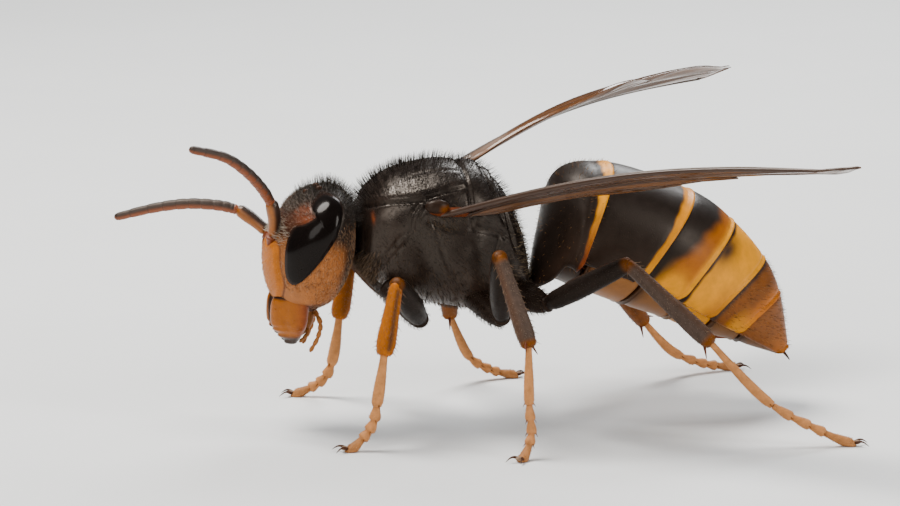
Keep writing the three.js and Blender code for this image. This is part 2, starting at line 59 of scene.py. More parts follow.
MM = 0.001
HEAD_FRONT = -9.126  # where the head's foremost point lies in the body's own axes
head_low, head_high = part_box("head")
SHIFT = np.array(
    [head_low.x / MM - HEAD_FRONT, (head_low.y + head_high.y) / 2 / MM, 0.0]
)
SIDES = {"left": -1, "right": 1}

# The body's outline in the middle plane.
# Head, from the mouth up: height, face x, back x, half width.
HEAD_KNOTS = np.array([
    [5.9, -7.7, -6.5, 1.0],
    [6.35, -8.5, -5.8, 1.9],
    [7.4, -8.9, -5.15, 2.5],
    [8.6, -8.95, -4.85, 2.85],
    [9.7, -8.6, -4.8, 2.98],
    [10.7, -7.95, -4.85, 2.75],
    [11.4, -7.05, -5.2, 2.0],
    [11.64, -6.4, -5.8, 0.8],
])
HEAD_POWER = 0.88  # below one makes the slices boxier than an oval
HEAD_MIDDLE = 0.52  # the widest place of a slice, as a share from face to back
# Thorax, from the collar back: x, top, bottom, half width.
THORAX_KNOTS = np.array([
    [-4.5, 10.7, 7.95, 1.55],
    [-4.2, 11.3, 7.45, 2.05],
    [-3.3, 12.15, 6.75, 2.5],
    [-1.9, 12.62, 6.1, 2.9],
    [-0.4, 12.78, 5.7, 3.0],
    [0.9, 12.5, 5.5, 2.85],
    [1.9, 11.95, 5.55, 2.5],
    [2.7, 10.9, 5.7, 2.05],
    [3.25, 9.6, 5.95, 1.6],
    [3.6, 8.3, 6.1, 1.1],
    [3.75, 7.3, 6.2, 0.65],
])
THORAX_WIDEST = 0.66
THORAX_POWER = 0.92
# Gaster, from the waist to the sting: top x, top z, bottom x, bottom z, half width, sides' bend.
GASTER_KNOTS = np.array([
    [4.0, 6.95, 4.0, 6.15, 0.42, 0],
    [4.4, 9.0, 4.4, 6.35, 1.65, -0.4],
    [5.4, 11.85, 4.8, 6.75, 2.9, -0.45],
    [8.0, 12.2, 5.8, 6.35, 3.3, 0.5],
    [12.05, 10.7, 8.0, 5.45, 3.5, 0.45],
    [14.05, 9.2, 10.3, 4.6, 3.2, 0.6],
    [15.65, 7.3, 12.1, 3.85, 2.55, 0.7],
    [16.45, 5.5, 13.95, 3.25, 1.8, 0.6],
    [16.95, 2.75, 16.4, 2.4, 0.22, 0],
])
GASTER_POWER = 0.96
TERGITE_ENDS = [3, 4, 5, 6, 7, 8]  # the place on the knots where each back plate ends

# The eye's kidney outline seen from the side, x and z, from the notch round the back.
EYE_OUTLINE = np.array([
    [-7.02, 10.6], [-7.12, 11.0], [-6.75, 11.4], [-6.3, 11.53], [-5.85, 11.25], [-5.82, 10.65],
    [-6.3, 9.5], [-7.1, 8.3], [-7.95, 7.4], [-8.36, 7.8], [-8.37, 9.0], [-8.02, 10.0],
    [-7.5, 10.28],
])
EYE_MIDDLE = np.array([-6.6, 9.9])  # every point of the outline is seen from here
EYE_OVERLAP = 0.07  # how far the eye reaches over the edge of its bed
EYE_RIM = 0.03  # how far its rim stands out
EYE_BACK = -0.18  # where the flat back of the eye lies
EYE_ROWS = 48
# The clypeus, the shield under the feelers: half widths at heights, from the top down.
CLYPEUS_OUTLINE = np.array([
    [0.5, 9.45], [1.5, 9.1], [1.75, 8.2], [1.72, 7.25], [1.1, 6.5], [0.5, 6.25],
])

# Limbs: coxa root, trochanter, knee, ankle, end of the first tarsal piece, fourth, toe.
LEGS = {
    "left_fore": [
        [-3.3, -1.35, 6.95], [-1.95, -2.55, 5.4], [-3.74, -5.5, 7.85], [-4.4, -5.9, 4.7],
        [-4.75, -6.0, 2.5], [-5.05, -6.05, 1.2], [-5.95, -6.1, 0.18],
    ],
    "left_mid": [
        [1.0, -1.4, 6.2], [1.95, -2.8, 5.35], [1.07, -6.2, 9.1], [2.05, -8.1, 5.25],
        [1.92, -8.8, 2.6], [1.95, -9.15, 1.15], [1.5, -9.6, 0.18],
    ],
    "left_hind": [
        [3.0, -1.25, 6.3], [4.15, -2.45, 5.9], [7.4, -5.75, 8.4], [10.8, -8.15, 5.0],
        [13.4, -9.0, 2.2], [15.9, -9.6, 0.75], [17.2, -9.85, 0.18],
    ],
    "right_fore": [
        [-3.3, 1.35, 6.95], [-1.95, 2.55, 5.4], [-3.9, 5.0, 7.3], [-4.45, 5.3, 4.2],
        [-4.75, 5.5, 2.0], [-5.2, 5.75, 0.9], [-6.35, 6.1, 0.18],
    ],
    "right_mid": [
        [1.0, 1.4, 6.2], [1.95, 2.8, 5.35], [1.05, 5.7, 8.0], [1.5, 7.1, 3.6],
        [2.5, 7.6, 1.45], [3.6, 7.9, 0.6], [4.85, 8.05, 0.18],
    ],
    "right_hind": [
        [3.0, 1.25, 6.3], [4.15, 2.45, 5.9], [7.6, 4.7, 7.4], [11.3, 6.4, 3.0],
        [12.9, 6.9, 1.3], [14.6, 7.3, 0.5], [16.2, 7.5, 0.18],
    ],
}
# Radii: coxa, trochanter, femur, knee, tibia end, first tarsal piece, toe.
LEG_RADII = {
    "fore": [0.62, 0.42, 0.58, 0.36, 0.46, 0.29, 0.27],
    "mid": [0.66, 0.42, 0.55, 0.36, 0.44, 0.25, 0.26],
    "hind": [0.68, 0.42, 0.52, 0.36, 0.44, 0.25, 0.26],
}
SPUR_LENGTH = 0.78
SPUR_LEAN = 0.75
SPUR_TONE = (0.09, 0.02, 0.006)
FOOT_SHARES = [0, 0.5, 0.62, 0.73, 0.82, 1]  # where the foot's five pieces meet
# How far each piece of a foot keeps off the floor, and the least height for a thorn.
FOOT_CLEAR = 0.015
PAD_CLEAR = 0.012
CLAW_CLEAR = 0.01
THORN_CLEAR = 0.3
CLAW_REACH = 0.62
CLAW_SPREAD = 0.3
CLAW_RADIUS = 0.085
CLAW_TONE = (0.05, 0.018, 0.008)
SHIN_BACK = {"fore": (0.9, 0, -0.1), "mid": (1, 0, 0), "hind": (-0.2, 0, 1)}
BRISTLE_RADIUS = 0.022
BRISTLE_TONE = (0.20, 0.12, 0.07)
PALP_TAPER = 0.25
# Feelers: root, elbow, then points along the lash to its tip.
FEELERS = {
    "left": [
        [-8.75, -0.55, 9.35], [-8.95, -1.25, 11.15], [-9.5, -1.9, 12.0], [-10.35, -2.55, 12.95],
        [-11.5, -3.25, 13.8], [-13.15, -4.0, 14.35],
    ],
    "right": [
        [-8.75, 0.55, 9.35], [-10.05, 1.3, 10.4], [-11.0, 1.6, 10.62], [-12.4, 2.05, 10.68],
        [-13.9, 2.6, 10.45], [-15.7, 3.25, 9.95],
    ],
}
LASH_PIECES = 10
LASH_RADIUS = 0.27
# Wings: root, tip, the way from the front edge to the back edge, and how far the middle bows up.
WINGS = {
    "left": ([-0.7, -3.35, 10.72], [15.55, -16.2, 14.6], [0.6, 0.77, -0.24], 0.8),
    "right": ([-0.7, 3.35, 10.9], [17.6, 13.9, 14.5], [0.54, -0.79, 0.5], 0.95),
}
FOREWING = [[0, 0.7], [0.12, 1.35], [0.35, 2.5], [0.6, 3.1], [0.82, 2.6], [0.95, 1.5], [1, 0.5]]
HINDWING = [[0, 0.5], [0.2, 1.3], [0.55, 2.1], [0.85, 1.5], [1, 0.45]]
HINDWING_SHARE = 0.66  # its length beside the forewing's
HINDWING_TUCK = 0.75  # how far its front edge lies under the forewing
HINDWING_DROP = 0.16  # and how far below

# The view: a long lens close to the floor, turned a little towards the face.
VIEW_TURN = np.radians(-12.0)
VIEW_RISE = np.radians(11.0)
VIEW_DISTANCE = 230.0
VIEW_TARGET = np.array([0.0, 0.0, 8.15])
PIXELS_PER_MM = 20.7
FRAME_WIDTH = 900
SENSOR = 36.0
FLOOR_HALF = 1500.0
WARM_GLOSS = (1.0, 0.84, 0.7, 1.0)  # the brown cast of light mirrored by the shell
TUFT_PATCH = 0.003  # width of a tuft's patch on the unwrap
TUFT_POINTS = 7
TUFT_ROOT = 0.02  # how deep a tuft starts under the skin
LOWEST = 0.0  # no tuft reaches below the floor


def clamp01(x):
    return np.clip(x, 0.0, 1.0)


def ease(low, high, x):
    """Nought below low, one above high, and the cubic 3t^2 - 2t^3 between."""
    t = clamp01((x - low) / (high - low))
    return t * t * (3 - 2 * t)


def bell(x, middle, width):
    """A bump of height one: e to the minus ((x - middle) / width) squared."""
    return np.exp(-(((x - middle) / width) ** 2))


def unit(v):
    return v / np.maximum(np.linalg.norm(v, axis=-1, keepdims=True), 1e-9)


def rows_at(rows, t):
    """Rows of numbers joined by Catmull-Rom cubics and read at shares t of the way along them."""
    rows = np.asarray(rows, float)
    last = len(rows) - 1
    place = clamp01(np.asarray(t, float)) * last
    i = np.minimum(place.astype(int), last - 1)
    f = (place - i)[..., None]
    a, b = rows[np.maximum(i - 1, 0)], rows[i]
    d, e = rows[i + 1], rows[np.minimum(i + 2, last)]
    m, n = (d - a) / 2, (e - b) / 2
    return (
        (2 * f**3 - 3 * f**2 + 1) * b
        + (f**3 - 2 * f**2 + f) * m
        + (-2 * f**3 + 3 * f**2) * d
        + (f**3 - f**2) * n
    )


def value_at(rows, x):
    """The smooth curve through [place, value] rows, read at places x."""
    rows = np.asarray(rows, float)
    share = np.interp(x, rows[:, 0], np.linspace(0, 1, len(rows)))
    return rows_at(rows, share)[..., 1]


def round_power(v, power):
    return np.sign(v) * np.abs(v) ** power


def distance_to_line(points, line):
    """The least distance from 2-D points to a line of joined straight stretches."""
    best = np.full(points.shape[:-1], np.inf)
    for a, b in zip(line[:-1], line[1:]):
        along = b - a
        t = clamp01(((points - a) @ along) / max(along @ along, 1e-12))
        best = np.minimum(best, np.linalg.norm(points - a - t[..., None] * along, axis=-1))
    return best


def smooth_line(points, count, closed=False):
    """A smooth line through a few 2-D or 3-D points: Catmull-Rom cubics at even shares."""
    points = np.asarray(points, float)
    if not closed:
        return rows_at(points, np.linspace(0, 1, count))
    ring = np.vstack([points[-2:], points, points[:3]])
    share = (2 + np.linspace(0, len(points), count)) / (len(ring) - 1)
    return rows_at(ring, share)


class Surface:
    """A grid of points, rows along and columns round, with a colour and a shine at each point."""

    def __init__(self, points, wrap=True):
        self.points = points
        self.wrap = wrap
        self.colour = None
        self.shine = None

    def normals(self):
        """Unit normals from the cross product of the grid's own differences."""
        p = self.points
        along = np.gradient(p, axis=0)
        if self.wrap:
            round_ = np.roll(p, -1, 1) - np.roll(p, 1, 1)
        else:
            round_ = np.gradient(p, axis=1)
        n = unit(np.cross(round_, along))
        middle = p.mean((0, 1))
        if np.sum((p - middle) * n) < 0:
            n = -n
        return n

    def push(self, distance):
        """Every point moved along its normal."""
        self.points = self.points + self.normals() * np.asarray(distance)[..., None]
        return self

    def tint(self, colour, shine):
        shape = self.points.shape[:2]
        self.colour = np.broadcast_to(np.asarray(colour, float), shape + (3,)).copy()
        self.shine = np.broadcast_to(np.asarray(shine, float), shape).copy()
        return self

    def part(self):
        """Vertices, four-sided and three-sided faces, with a fan over each open end."""
        rows, cols = self.points.shape[:2]
        verts = self.points.reshape(-1, 3)
        colour = self.colour.reshape(-1, 3)
        shine = self.shine.reshape(-1)
        r = np.arange(rows - 1)[:, None] * cols
        c = np.arange(cols)[None, :]
        after = (c + 1) % cols
        quads = np.stack(
            np.broadcast_arrays(r + c, r + after, r + cols + after, r + cols + c), -1
        ).reshape(-1, 4)
        c = c[0]
        after = after[0]
        top = (rows - 1) * cols
        n = rows * cols
        tris = np.vstack([
            np.stack([np.full(cols, n), after, c], -1),
            np.stack([np.full(cols, n + 1), top + c, top + after], -1),
        ])
        verts = np.vstack([verts, verts[:cols].mean(0), verts[top:].mean(0)])
        colour = np.vstack([colour, colour[:cols].mean(0), colour[top:].mean(0)])
        shine = np.append(shine, [shine[:cols].mean(), shine[top:].mean()])
        return Part(verts, quads, tris, colour, shine)


class Part:
    """Vertices and faces of one closed body, turned so that its faces point outwards."""

    def __init__(self, verts, quads, tris, colour, shine, uv=None):
        self.verts, self.quads, self.tris = verts, quads, tris
        self.colour, self.shine, self.uv = colour, shine, uv
        if self.volume() < 0:
            self.quads = self.quads[:, ::-1]
            self.tris = self.tris[:, ::-1]

    def volume(self):
        """A sixth of the sum of the triple products of the faces' corners."""
        v = self.verts - self.verts.mean(0)
        q, t = self.quads, self.tris
        three = np.vstack([q[:, [0, 1, 2]], q[:, [0, 2, 3]], t]) if len(q) else t
        a, b, c = v[three[:, 0]], v[three[:, 1]], v[three[:, 2]]
        return np.einsum("ij,ij->i", a, np.cross(b, c)).sum() / 6


def slab(middle, normals, half, colour, shine):
    """A thin closed plate: an upper and a lower sheet a half thickness from the middle one, which
    share the points of the border."""
    rows, cols = middle.shape[:2]
    border = np.zeros((rows, cols), bool)
    border[[0, -1], :] = True
    border[:, [0, -1]] = True
    half = np.where(border, 0, half)
    upper = (middle + normals * half[..., None]).reshape(-1, 3)
    lower = (middle - normals * half[..., None]).reshape(-1, 3)
    index = np.arange(rows * cols).reshape(rows, cols)
    inner = ~border.reshape(-1)
    below = index.reshape(-1).copy()
    below[inner] = rows * cols + np.arange(inner.sum())
    below = below.reshape(rows, cols)

    def faces(i):
        return np.stack([i[:-1, :-1], i[:-1, 1:], i[1:, 1:], i[1:, :-1]], -1).reshape(-1, 4)

    quads = np.vstack([faces(index), faces(below)[:, ::-1]])
    colour = np.broadcast_to(colour, (rows, cols, 3)).reshape(-1, 3)
    shine = np.broadcast_to(shine, (rows, cols)).reshape(-1)
    return Part(
        np.vstack([upper, lower[inner]]),
        quads,
        np.zeros((0, 3), int),
        np.vstack([colour, colour[inner]]),
        np.append(shine, shine[inner]),
    )


def domed(rings, start, end, count=6):
    """Rings with a quarter ellipse of smaller rings added before the first and after the last."""
    turn = np.linspace(0, np.pi / 2, count + 1)[1:-1]
    parts = [rings]
    for ring, inside, height, first in (
        (rings[0], rings[1], start, True),
        (rings[-1], rings[-2], end, False),
    ):
        if not height:
            continue
        middle = ring.mean(0)
        way = unit(middle - inside.mean(0))
        dome = (
            middle
            + (ring - middle)[None] * np.cos(turn)[:, None, None]
            + way * (height * np.sin(turn))[:, None, None]
        )
        parts = [dome[::-1]] + parts if first else parts + [dome]
    return np.concatenate(parts)


def tube(path, radii, sides, ref=(0.0, 0.0, 1.0), flat=1.0, caps=(0.12, 0.12)):
    """Round rings carried along a path: centre plus radius times (cos, sin) in the plane across it.
    flat is the width across ref beside the width along it."""
    path = np.asarray(path, float)
    along = unit(np.gradient(path, axis=0))
    ref = np.asarray(ref, float)
    up = unit(ref - (along @ ref)[:, None] * along)
    side = np.cross(along, up)
    angle = np.linspace(0, 2 * np.pi, sides, endpoint=False)
    r = np.broadcast_to(radii, len(path))[:, None, None]
    rings = path[:, None] + r * (
        np.cos(angle)[None, :, None] * up[:, None]
        + flat * np.sin(angle)[None, :, None] * side[:, None]
    )
    return Surface(domed(rings, caps[0], caps[1]))


def make_object(name, parts, material, nodes=()):
    """Joins parts into one mesh in the frame's metres and sets it on the root body."""
    verts = np.vstack([p.verts for p in parts])
    offsets = np.cumsum([0] + [len(p.verts) for p in parts[:-1]])
    quads = np.vstack([p.quads + o for p, o in zip(parts, offsets)])
    tris = np.vstack([p.tris + o for p, o in zip(parts, offsets)])
    colour = np.vstack([p.colour for p in parts])
    shine = np.concatenate([p.shine for p in parts])
    mesh = bpy.data.meshes.new(name)
    mesh.vertices.add(len(verts))
    mesh.vertices.foreach_set("co", ((verts + SHIFT) * MM).astype(np.float32).ravel())
    corners = np.concatenate([quads.ravel(), tris.ravel()])
    mesh.loops.add(len(corners))
    mesh.loops.foreach_set("vertex_index", corners.astype(np.int32))
    counts = np.concatenate([np.full(len(quads), 4), np.full(len(tris), 3)])
    starts = np.concatenate([[0], np.cumsum(counts)[:-1]])
    mesh.polygons.add(len(counts))
    mesh.polygons.foreach_set("loop_start", starts.astype(np.int32))
    mesh.polygons.foreach_set("loop_total", counts.astype(np.int32))
    mesh.update(calc_edges=True)
    mesh.validate()
    tint = mesh.color_attributes.new("tint", "FLOAT_COLOR", "POINT")
    tint.data.foreach_set(
        "color", np.hstack([colour, np.ones((len(colour), 1))]).astype(np.float32).ravel()
    )
    gloss = mesh.attributes.new("shine", "FLOAT", "POINT")
    gloss.data.foreach_set("value", shine.astype(np.float32))
    mesh.polygons.foreach_set("use_smooth", np.ones(len(counts), bool))
    if all(p.uv is not None for p in parts):
        uv = np.vstack([p.uv for p in parts])
        layer = mesh.uv_layers.new(name="OFBake")
        layer.data.foreach_set("uv", uv[corners].astype(np.float32).ravel())
    mesh.materials.append(material)
    piece = bpy.data.objects.new(name, mesh)
    bpy.context.scene.collection.objects.link(piece)
    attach(piece, "root")
    if nodes:
        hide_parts(*nodes)
    return piece


def blend(base, over, mask):
    """One colour laid over another by a mask."""
    base = np.asarray(base, float)
    over = np.asarray(over, float)
    return base + (over - base) * mask[..., None]


class Coat:
    """Short solid tufts for one piece: each is a three-sided spike with a bend halfway, seven
    points in all, set on a skin's grid at random cells picked by area times a density."""

    def __init__(self, seed):
        self.rng = np.random.default_rng(seed)
        self.verts, self.colour, self.uv = [], [], []

    def add(self, skin, count, mask, length, radius, stand, comb, shade, patch=(0, 0, 1, 1)):
        """comb is the way the tufts lie, stand is 0 for lying and 1 for upright, shade turns the
        skin's colours into the tufts' own, and patch is the grid's own part of the unwrap."""
        look = bpy.context.scene.hornet
        rng = self.rng
        count = int(count * look.coat_density)
        p, n = skin.points, skin.normals()
        rows, cols = p.shape[:2]
        used = cols if skin.wrap else cols - 1
        after = (np.arange(used) + 1) % cols
        a, b = p[1:, :used] - p[:-1, :used], p[:-1, after] - p[:-1, :used]
        weight = np.linalg.norm(np.cross(a, b), axis=-1)
        weight = weight * np.broadcast_to(mask, (rows, cols))[:-1, :used]
        cell = rng.choice(weight.size, count, p=(weight / weight.sum()).ravel())
        i, j = cell // used, cell % used
        k = (j + 1) % cols
        u, v = rng.random((2, count, 1))

        def read(field):
            field = np.broadcast_to(field, (rows, cols) + np.shape(field)[2:])
            field = field.reshape(rows, cols, -1)
            low = field[i, j] * (1 - v) + field[i, k] * v
            return low * (1 - u) + (field[i + 1, j] * (1 - v) + field[i + 1, k] * v) * u

        root, normal, tint = read(p), unit(read(n)), read(skin.colour)
        long = read(np.asarray(length, float) * np.ones((rows, cols))) * look.coat_length
        long = long * rng.uniform(0.7, 1.25, (count, 1))
        rise = read(np.asarray(stand, float) * np.ones((rows, cols)))
        lie = read(np.broadcast_to(comb, (rows, cols, 3))) + rng.normal(0, 0.22, (count, 3))
        lie = unit(lie - np.sum(lie * normal, -1, keepdims=True) * normal)
        side = np.cross(normal, lie)
        way = unit(lie * (1 - rise) + normal * rise)
        other = np.cross(way, side)
        turn = np.array([0, 2, 4]) * np.pi / 3
        ring = np.cos(turn)[:, None] * side[:, None] + np.sin(turn)[:, None] * other[:, None]
        foot = root - TUFT_ROOT * normal
        bend = root + way * long * 0.5
        tip = bend + unit(way + 0.6 * lie * (1 - rise)) * long * 0.5
        spread = radius * rng.uniform(0.8, 1.2, (count, 1, 1))
        self.verts.append(
            np.concatenate([
                foot[:, None] + spread * ring, bend[:, None] + 0.7 * spread * ring, tip[:, None]
            ], 1)
        )
        self.colour.append(np.repeat(shade(tint, rng)[:, None], TUFT_POINTS, 1))
        u0, v0, u1, v1 = patch
        place = np.stack([
            u0 + (u1 - u0) * (j + v[:, 0]) / cols, v0 + (v1 - v0) * (i + u[:, 0]) / rows
        ], -1)
        rim = np.stack([np.cos(turn), np.sin(turn)], -1) * TUFT_PATCH / 2
        spots = np.concatenate([rim, rim * 0.5, [[0, 0]]])
        self.uv.append(np.clip(place[:, None] + spots, 0, 1))

    def part(self):
        verts = np.concatenate(self.verts).reshape(-1, 3)
        verts[:, 2] = np.maximum(verts[:, 2], LOWEST)
        first = np.arange(0, len(verts), TUFT_POINTS)[:, None, None]
        quads = first + np.array([[0, 1, 4, 3], [1, 2, 5, 4], [2, 0, 3, 5]])
        tris = first + np.array([[0, 2, 1], [3, 4, 6], [4, 5, 6], [5, 3, 6]])
        return Part(
            verts, quads.reshape(-1, 4), tris.reshape(-1, 3),
            np.concatenate(self.colour).reshape(-1, 3), np.full(len(verts), 0.5),
            np.concatenate(self.uv).reshape(-1, 2),
        )

    def finish(self, name):
        make_object(name, [self.part()], material("hair"))


def mixed(dark, pale, share, keep=0.0):
    """A shade for tufts: mostly dark, some pale, and some of the skin's own colour kept."""

    def shade(tint, rng):
        pick = (rng.random((len(tint), 1)) < share) * rng.uniform(0.5, 1.0, (len(tint), 1))
        own = np.array(dark) + (np.array(pale) - np.array(dark)) * pick
        return own * (1 - keep) + tint * keep * rng.uniform(0.8, 1.5, (len(tint), 1))

    return shade


# Materials


def group(name, inputs, outputs):
    """An empty shader node group with named sockets, given as name to (kind, default)."""
    tree = bpy.data.node_groups.new(name, "ShaderNodeTree")
    for label, (kind, default) in inputs.items():
        socket = tree.interface.new_socket(label, in_out="INPUT", socket_type=kind)
        if default is not None:
            socket.default_value = default
    for label, kind in outputs.items():
        tree.interface.new_socket(label, in_out="OUTPUT", socket_type=kind)
    return tree, tree.nodes.new("NodeGroupInput"), tree.nodes.new("NodeGroupOutput")


def node(tree, kind, **settings):
    made = tree.nodes.new(kind)
    for key, value in settings.items():
        if key in made.inputs:
            made.inputs[key].default_value = value
        else:
            setattr(made, key, value)
    return made


def pits_group():
    """Small round pits: a Voronoi pattern's distance to its nearest point, kept where short."""
    tree, given, out = group(
        "FinePits",
        {"Scale": ("NodeSocketFloat", 9000.0), "Amount": ("NodeSocketFloat", 1.0)},
        {"Height": "NodeSocketFloat"},
    )
    place = node(tree, "ShaderNodeTexCoord")
    cells = node(tree, "ShaderNodeTexVoronoi", feature="F1")
    edge = node(tree, "ShaderNodeMapRange")
    edge.inputs["From Min"].default_value = 0.1
    edge.inputs["From Max"].default_value = 0.35
    scaled = node(tree, "ShaderNodeMath", operation="MULTIPLY")
    tree.links.new(place.outputs["Object"], cells.inputs["Vector"])
    tree.links.new(given.outputs["Scale"], cells.inputs["Scale"])
    tree.links.new(cells.outputs["Distance"], edge.inputs["Value"])
    tree.links.new(edge.outputs["Result"], scaled.inputs[0])
    tree.links.new(given.outputs["Amount"], scaled.inputs[1])
    tree.links.new(scaled.outputs["Value"], out.inputs["Height"])
    return tree


def mottle_group():
    """A colour made uneven: it is mixed with a darker and a lighter one by two sizes of noise."""
    tree, given, out = group(
        "ShellMottle",
        {
            "Color": ("NodeSocketColor", None),
            "Scale": ("NodeSocketFloat", 900.0),
            "Amount": ("NodeSocketFloat", 0.3),
        },
        {"Color": "NodeSocketColor", "Grain": "NodeSocketFloat"},
    )
    place = node(tree, "ShaderNodeTexCoord")
    cloud = node(tree, "ShaderNodeTexNoise", Detail=6.0, Roughness=0.6)
    tree.links.new(place.outputs["Object"], cloud.inputs["Vector"])
    tree.links.new(given.outputs["Scale"], cloud.inputs["Scale"])
    # Lightness runs from one less the amount to one more the amount.
    low = node(tree, "ShaderNodeMath", operation="SUBTRACT")
    low.inputs[0].default_value = 1.0
    high = node(tree, "ShaderNodeMath", operation="ADD")
    high.inputs[0].default_value = 1.0
    tree.links.new(given.outputs["Amount"], low.inputs[1])
    tree.links.new(given.outputs["Amount"], high.inputs[1])
    level = node(tree, "ShaderNodeMapRange")
    level.inputs["From Min"].default_value = 0.3
    level.inputs["From Max"].default_value = 0.7
    tree.links.new(cloud.outputs["Fac"], level.inputs["Value"])
    tree.links.new(low.outputs["Value"], level.inputs["To Min"])
    tree.links.new(high.outputs["Value"], level.inputs["To Max"])
    shaded = node(tree, "ShaderNodeVectorMath", operation="SCALE")
    tree.links.new(given.outputs["Color"], shaded.inputs[0])
    tree.links.new(level.outputs["Result"], shaded.inputs["Scale"])
    tree.links.new(shaded.outputs["Vector"], out.inputs["Color"])
    tree.links.new(cloud.outputs["Fac"], out.inputs["Grain"])
    return tree


GROUPS = {}


def use_group(tree, name, **values):
    """A node of the shared group, built on first use, with its own input values."""
    makers = {"FinePits": pits_group, "ShellMottle": mottle_group}
    if name not in GROUPS:
        GROUPS[name] = makers[name]()
    made = tree.nodes.new("ShaderNodeGroup")
    made.node_tree = GROUPS[name]
    for key, value in values.items():
        made.inputs[key].default_value = value
    return made


def shell_material(
    name, mottle=0.3, mottle_scale=900.0, pits=1.0, pit_scale=9000.0, depth=0.3,
    coat=0.0, coat_rough=0.15, specular=0.5, alpha=None,
):
    """A hard body surface: the piece's own tint made uneven, its own shine, and fine pits."""
    material = bpy.data.materials.new(name)
    material.use_nodes = True
    tree = material.node_tree
    shader = tree.nodes["Principled BSDF"]
    tint = node(tree, "ShaderNodeAttribute", attribute_name="tint")
    uneven = use_group(tree, "ShellMottle", Scale=mottle_scale, Amount=mottle)
    tree.links.new(tint.outputs["Color"], uneven.inputs["Color"])
    tree.links.new(uneven.outputs["Color"], shader.inputs["Base Color"])
    shine = node(tree, "ShaderNodeAttribute", attribute_name="shine")
    rough = node(tree, "ShaderNodeMapRange", clamp=False)
    rough.inputs["From Min"].default_value = 0.3
    rough.inputs["From Max"].default_value = 0.7
    rough.inputs["To Min"].default_value = -0.06
    rough.inputs["To Max"].default_value = 0.08
    total = node(tree, "ShaderNodeMath", operation="ADD", use_clamp=True)
    tree.links.new(uneven.outputs["Grain"], rough.inputs["Value"])
    tree.links.new(rough.outputs["Result"], total.inputs[0])
    tree.links.new(shine.outputs["Fac"], total.inputs[1])
    tree.links.new(total.outputs["Value"], shader.inputs["Roughness"])
    holes = use_group(tree, "FinePits", Scale=pit_scale, Amount=pits)
    bump = node(tree, "ShaderNodeBump", Strength=depth, Distance=0.00002)
    tree.links.new(holes.outputs["Height"], bump.inputs["Height"])
    tree.links.new(bump.outputs["Normal"], shader.inputs["Normal"])
    shader.inputs["Coat Weight"].default_value = coat
    shader.inputs["Coat Roughness"].default_value = coat_rough
    shader.inputs["Specular IOR Level"].default_value = specular
    shader.inputs["Specular Tint"].default_value = WARM_GLOSS
    if alpha is not None:
        # The film is clearer than the veins: the shine value marks the film.
        clear = node(tree, "ShaderNodeMapRange")
        clear.inputs["From Min"].default_value = 0.18
        clear.inputs["From Max"].default_value = 0.32
        clear.inputs["To Min"].default_value = alpha
        clear.inputs["To Max"].default_value = 1.0
        tree.links.new(shine.outputs["Fac"], clear.inputs["Value"])
        tree.links.new(clear.outputs["Result"], shader.inputs["Alpha"])
    return material


def hair_material():
    """Soft short hair: its own tint, darker at random, dull with a little sheen."""
    material = bpy.data.materials.new("hair")
    material.use_nodes = True
    tree = material.node_tree
    shader = tree.nodes["Principled BSDF"]
    tint = node(tree, "ShaderNodeAttribute", attribute_name="tint")
    uneven = use_group(tree, "ShellMottle", Scale=5000.0, Amount=0.35)
    tree.links.new(tint.outputs["Color"], uneven.inputs["Color"])
    tree.links.new(uneven.outputs["Color"], shader.inputs["Base Color"])
    shader.inputs["Roughness"].default_value = 0.55
    shader.inputs["Specular IOR Level"].default_value = 0.25
    shader.inputs["Specular Tint"].default_value = WARM_GLOSS
    return material


def floor_material(colour):
    """A plain pale board with a barely seen grain."""
    material = bpy.data.materials.new("floor")
    material.use_nodes = True
    tree = material.node_tree
    shader = tree.nodes["Principled BSDF"]
    uneven = use_group(tree, "ShellMottle", Scale=60.0, Amount=0.015)
    uneven.inputs["Color"].default_value = (*colour, 1.0)
    tree.links.new(uneven.outputs["Color"], shader.inputs["Base Color"])
    shader.inputs["Roughness"].default_value = 0.8
    return material


MATERIALS = {}


def material(name):
    """One of the object's materials, made on first use."""
    recipes = {
        "dark_shell": dict(mottle=0.3, pits=1.0, depth=0.4, specular=0.4),
        "head_shell": dict(
            mottle=0.18, mottle_scale=2500, pits=1.0, pit_scale=7000, depth=0.6, specular=0.25,
        ),
        "eye": dict(
            mottle=0.2, pits=0.4, pit_scale=32000, depth=0.02, specular=0.05, coat=0.12,
            coat_rough=0.08,
        ),
        "gaster_shell": dict(mottle=0.14, mottle_scale=1800, pits=0.7, depth=0.25, specular=0.2),
        "limb": dict(
            mottle=0.2, mottle_scale=3500, pits=0.8, pit_scale=14000, depth=0.35, specular=0.13
        ),
        "feeler": dict(mottle=0.15, mottle_scale=5000, pits=0.8, pit_scale=16000, depth=0.3),
        "wing": dict(
            mottle=0.15, mottle_scale=700, pits=0.2, pit_scale=12000, depth=0.1,
            specular=0.35, coat=0.3, coat_rough=0.14, alpha=0.93,
        ),
    }
    if name not in MATERIALS:
        MATERIALS[name] = (
            hair_material() if name == "hair" else shell_material(name, **recipes[name])
        )
    return MATERIALS[name]


# Head


def head_row(z):
    """Face x, back x and half width of the head's slice at heights z."""
    dense = rows_at(HEAD_KNOTS, np.linspace(0, 1, 400))
    return [np.interp(z, dense[:, 0], dense[:, k]) for k in (1, 2, 3)]


def head_side(x, z):
    """How far from the middle plane the head's surface lies at x and z: half (1 - |X|^(2/p))^(p/2),
    with X from -1 at the face to 1 at the back."""
    face, back, half = head_row(z)
    middle = face + HEAD_MIDDLE * (back - face)
    reach = np.where(x < middle, middle - face, back - middle)
    across = clamp01(1 - np.abs((x - middle) / reach) ** (2 / HEAD_POWER))
    return half * across ** (HEAD_POWER / 2)


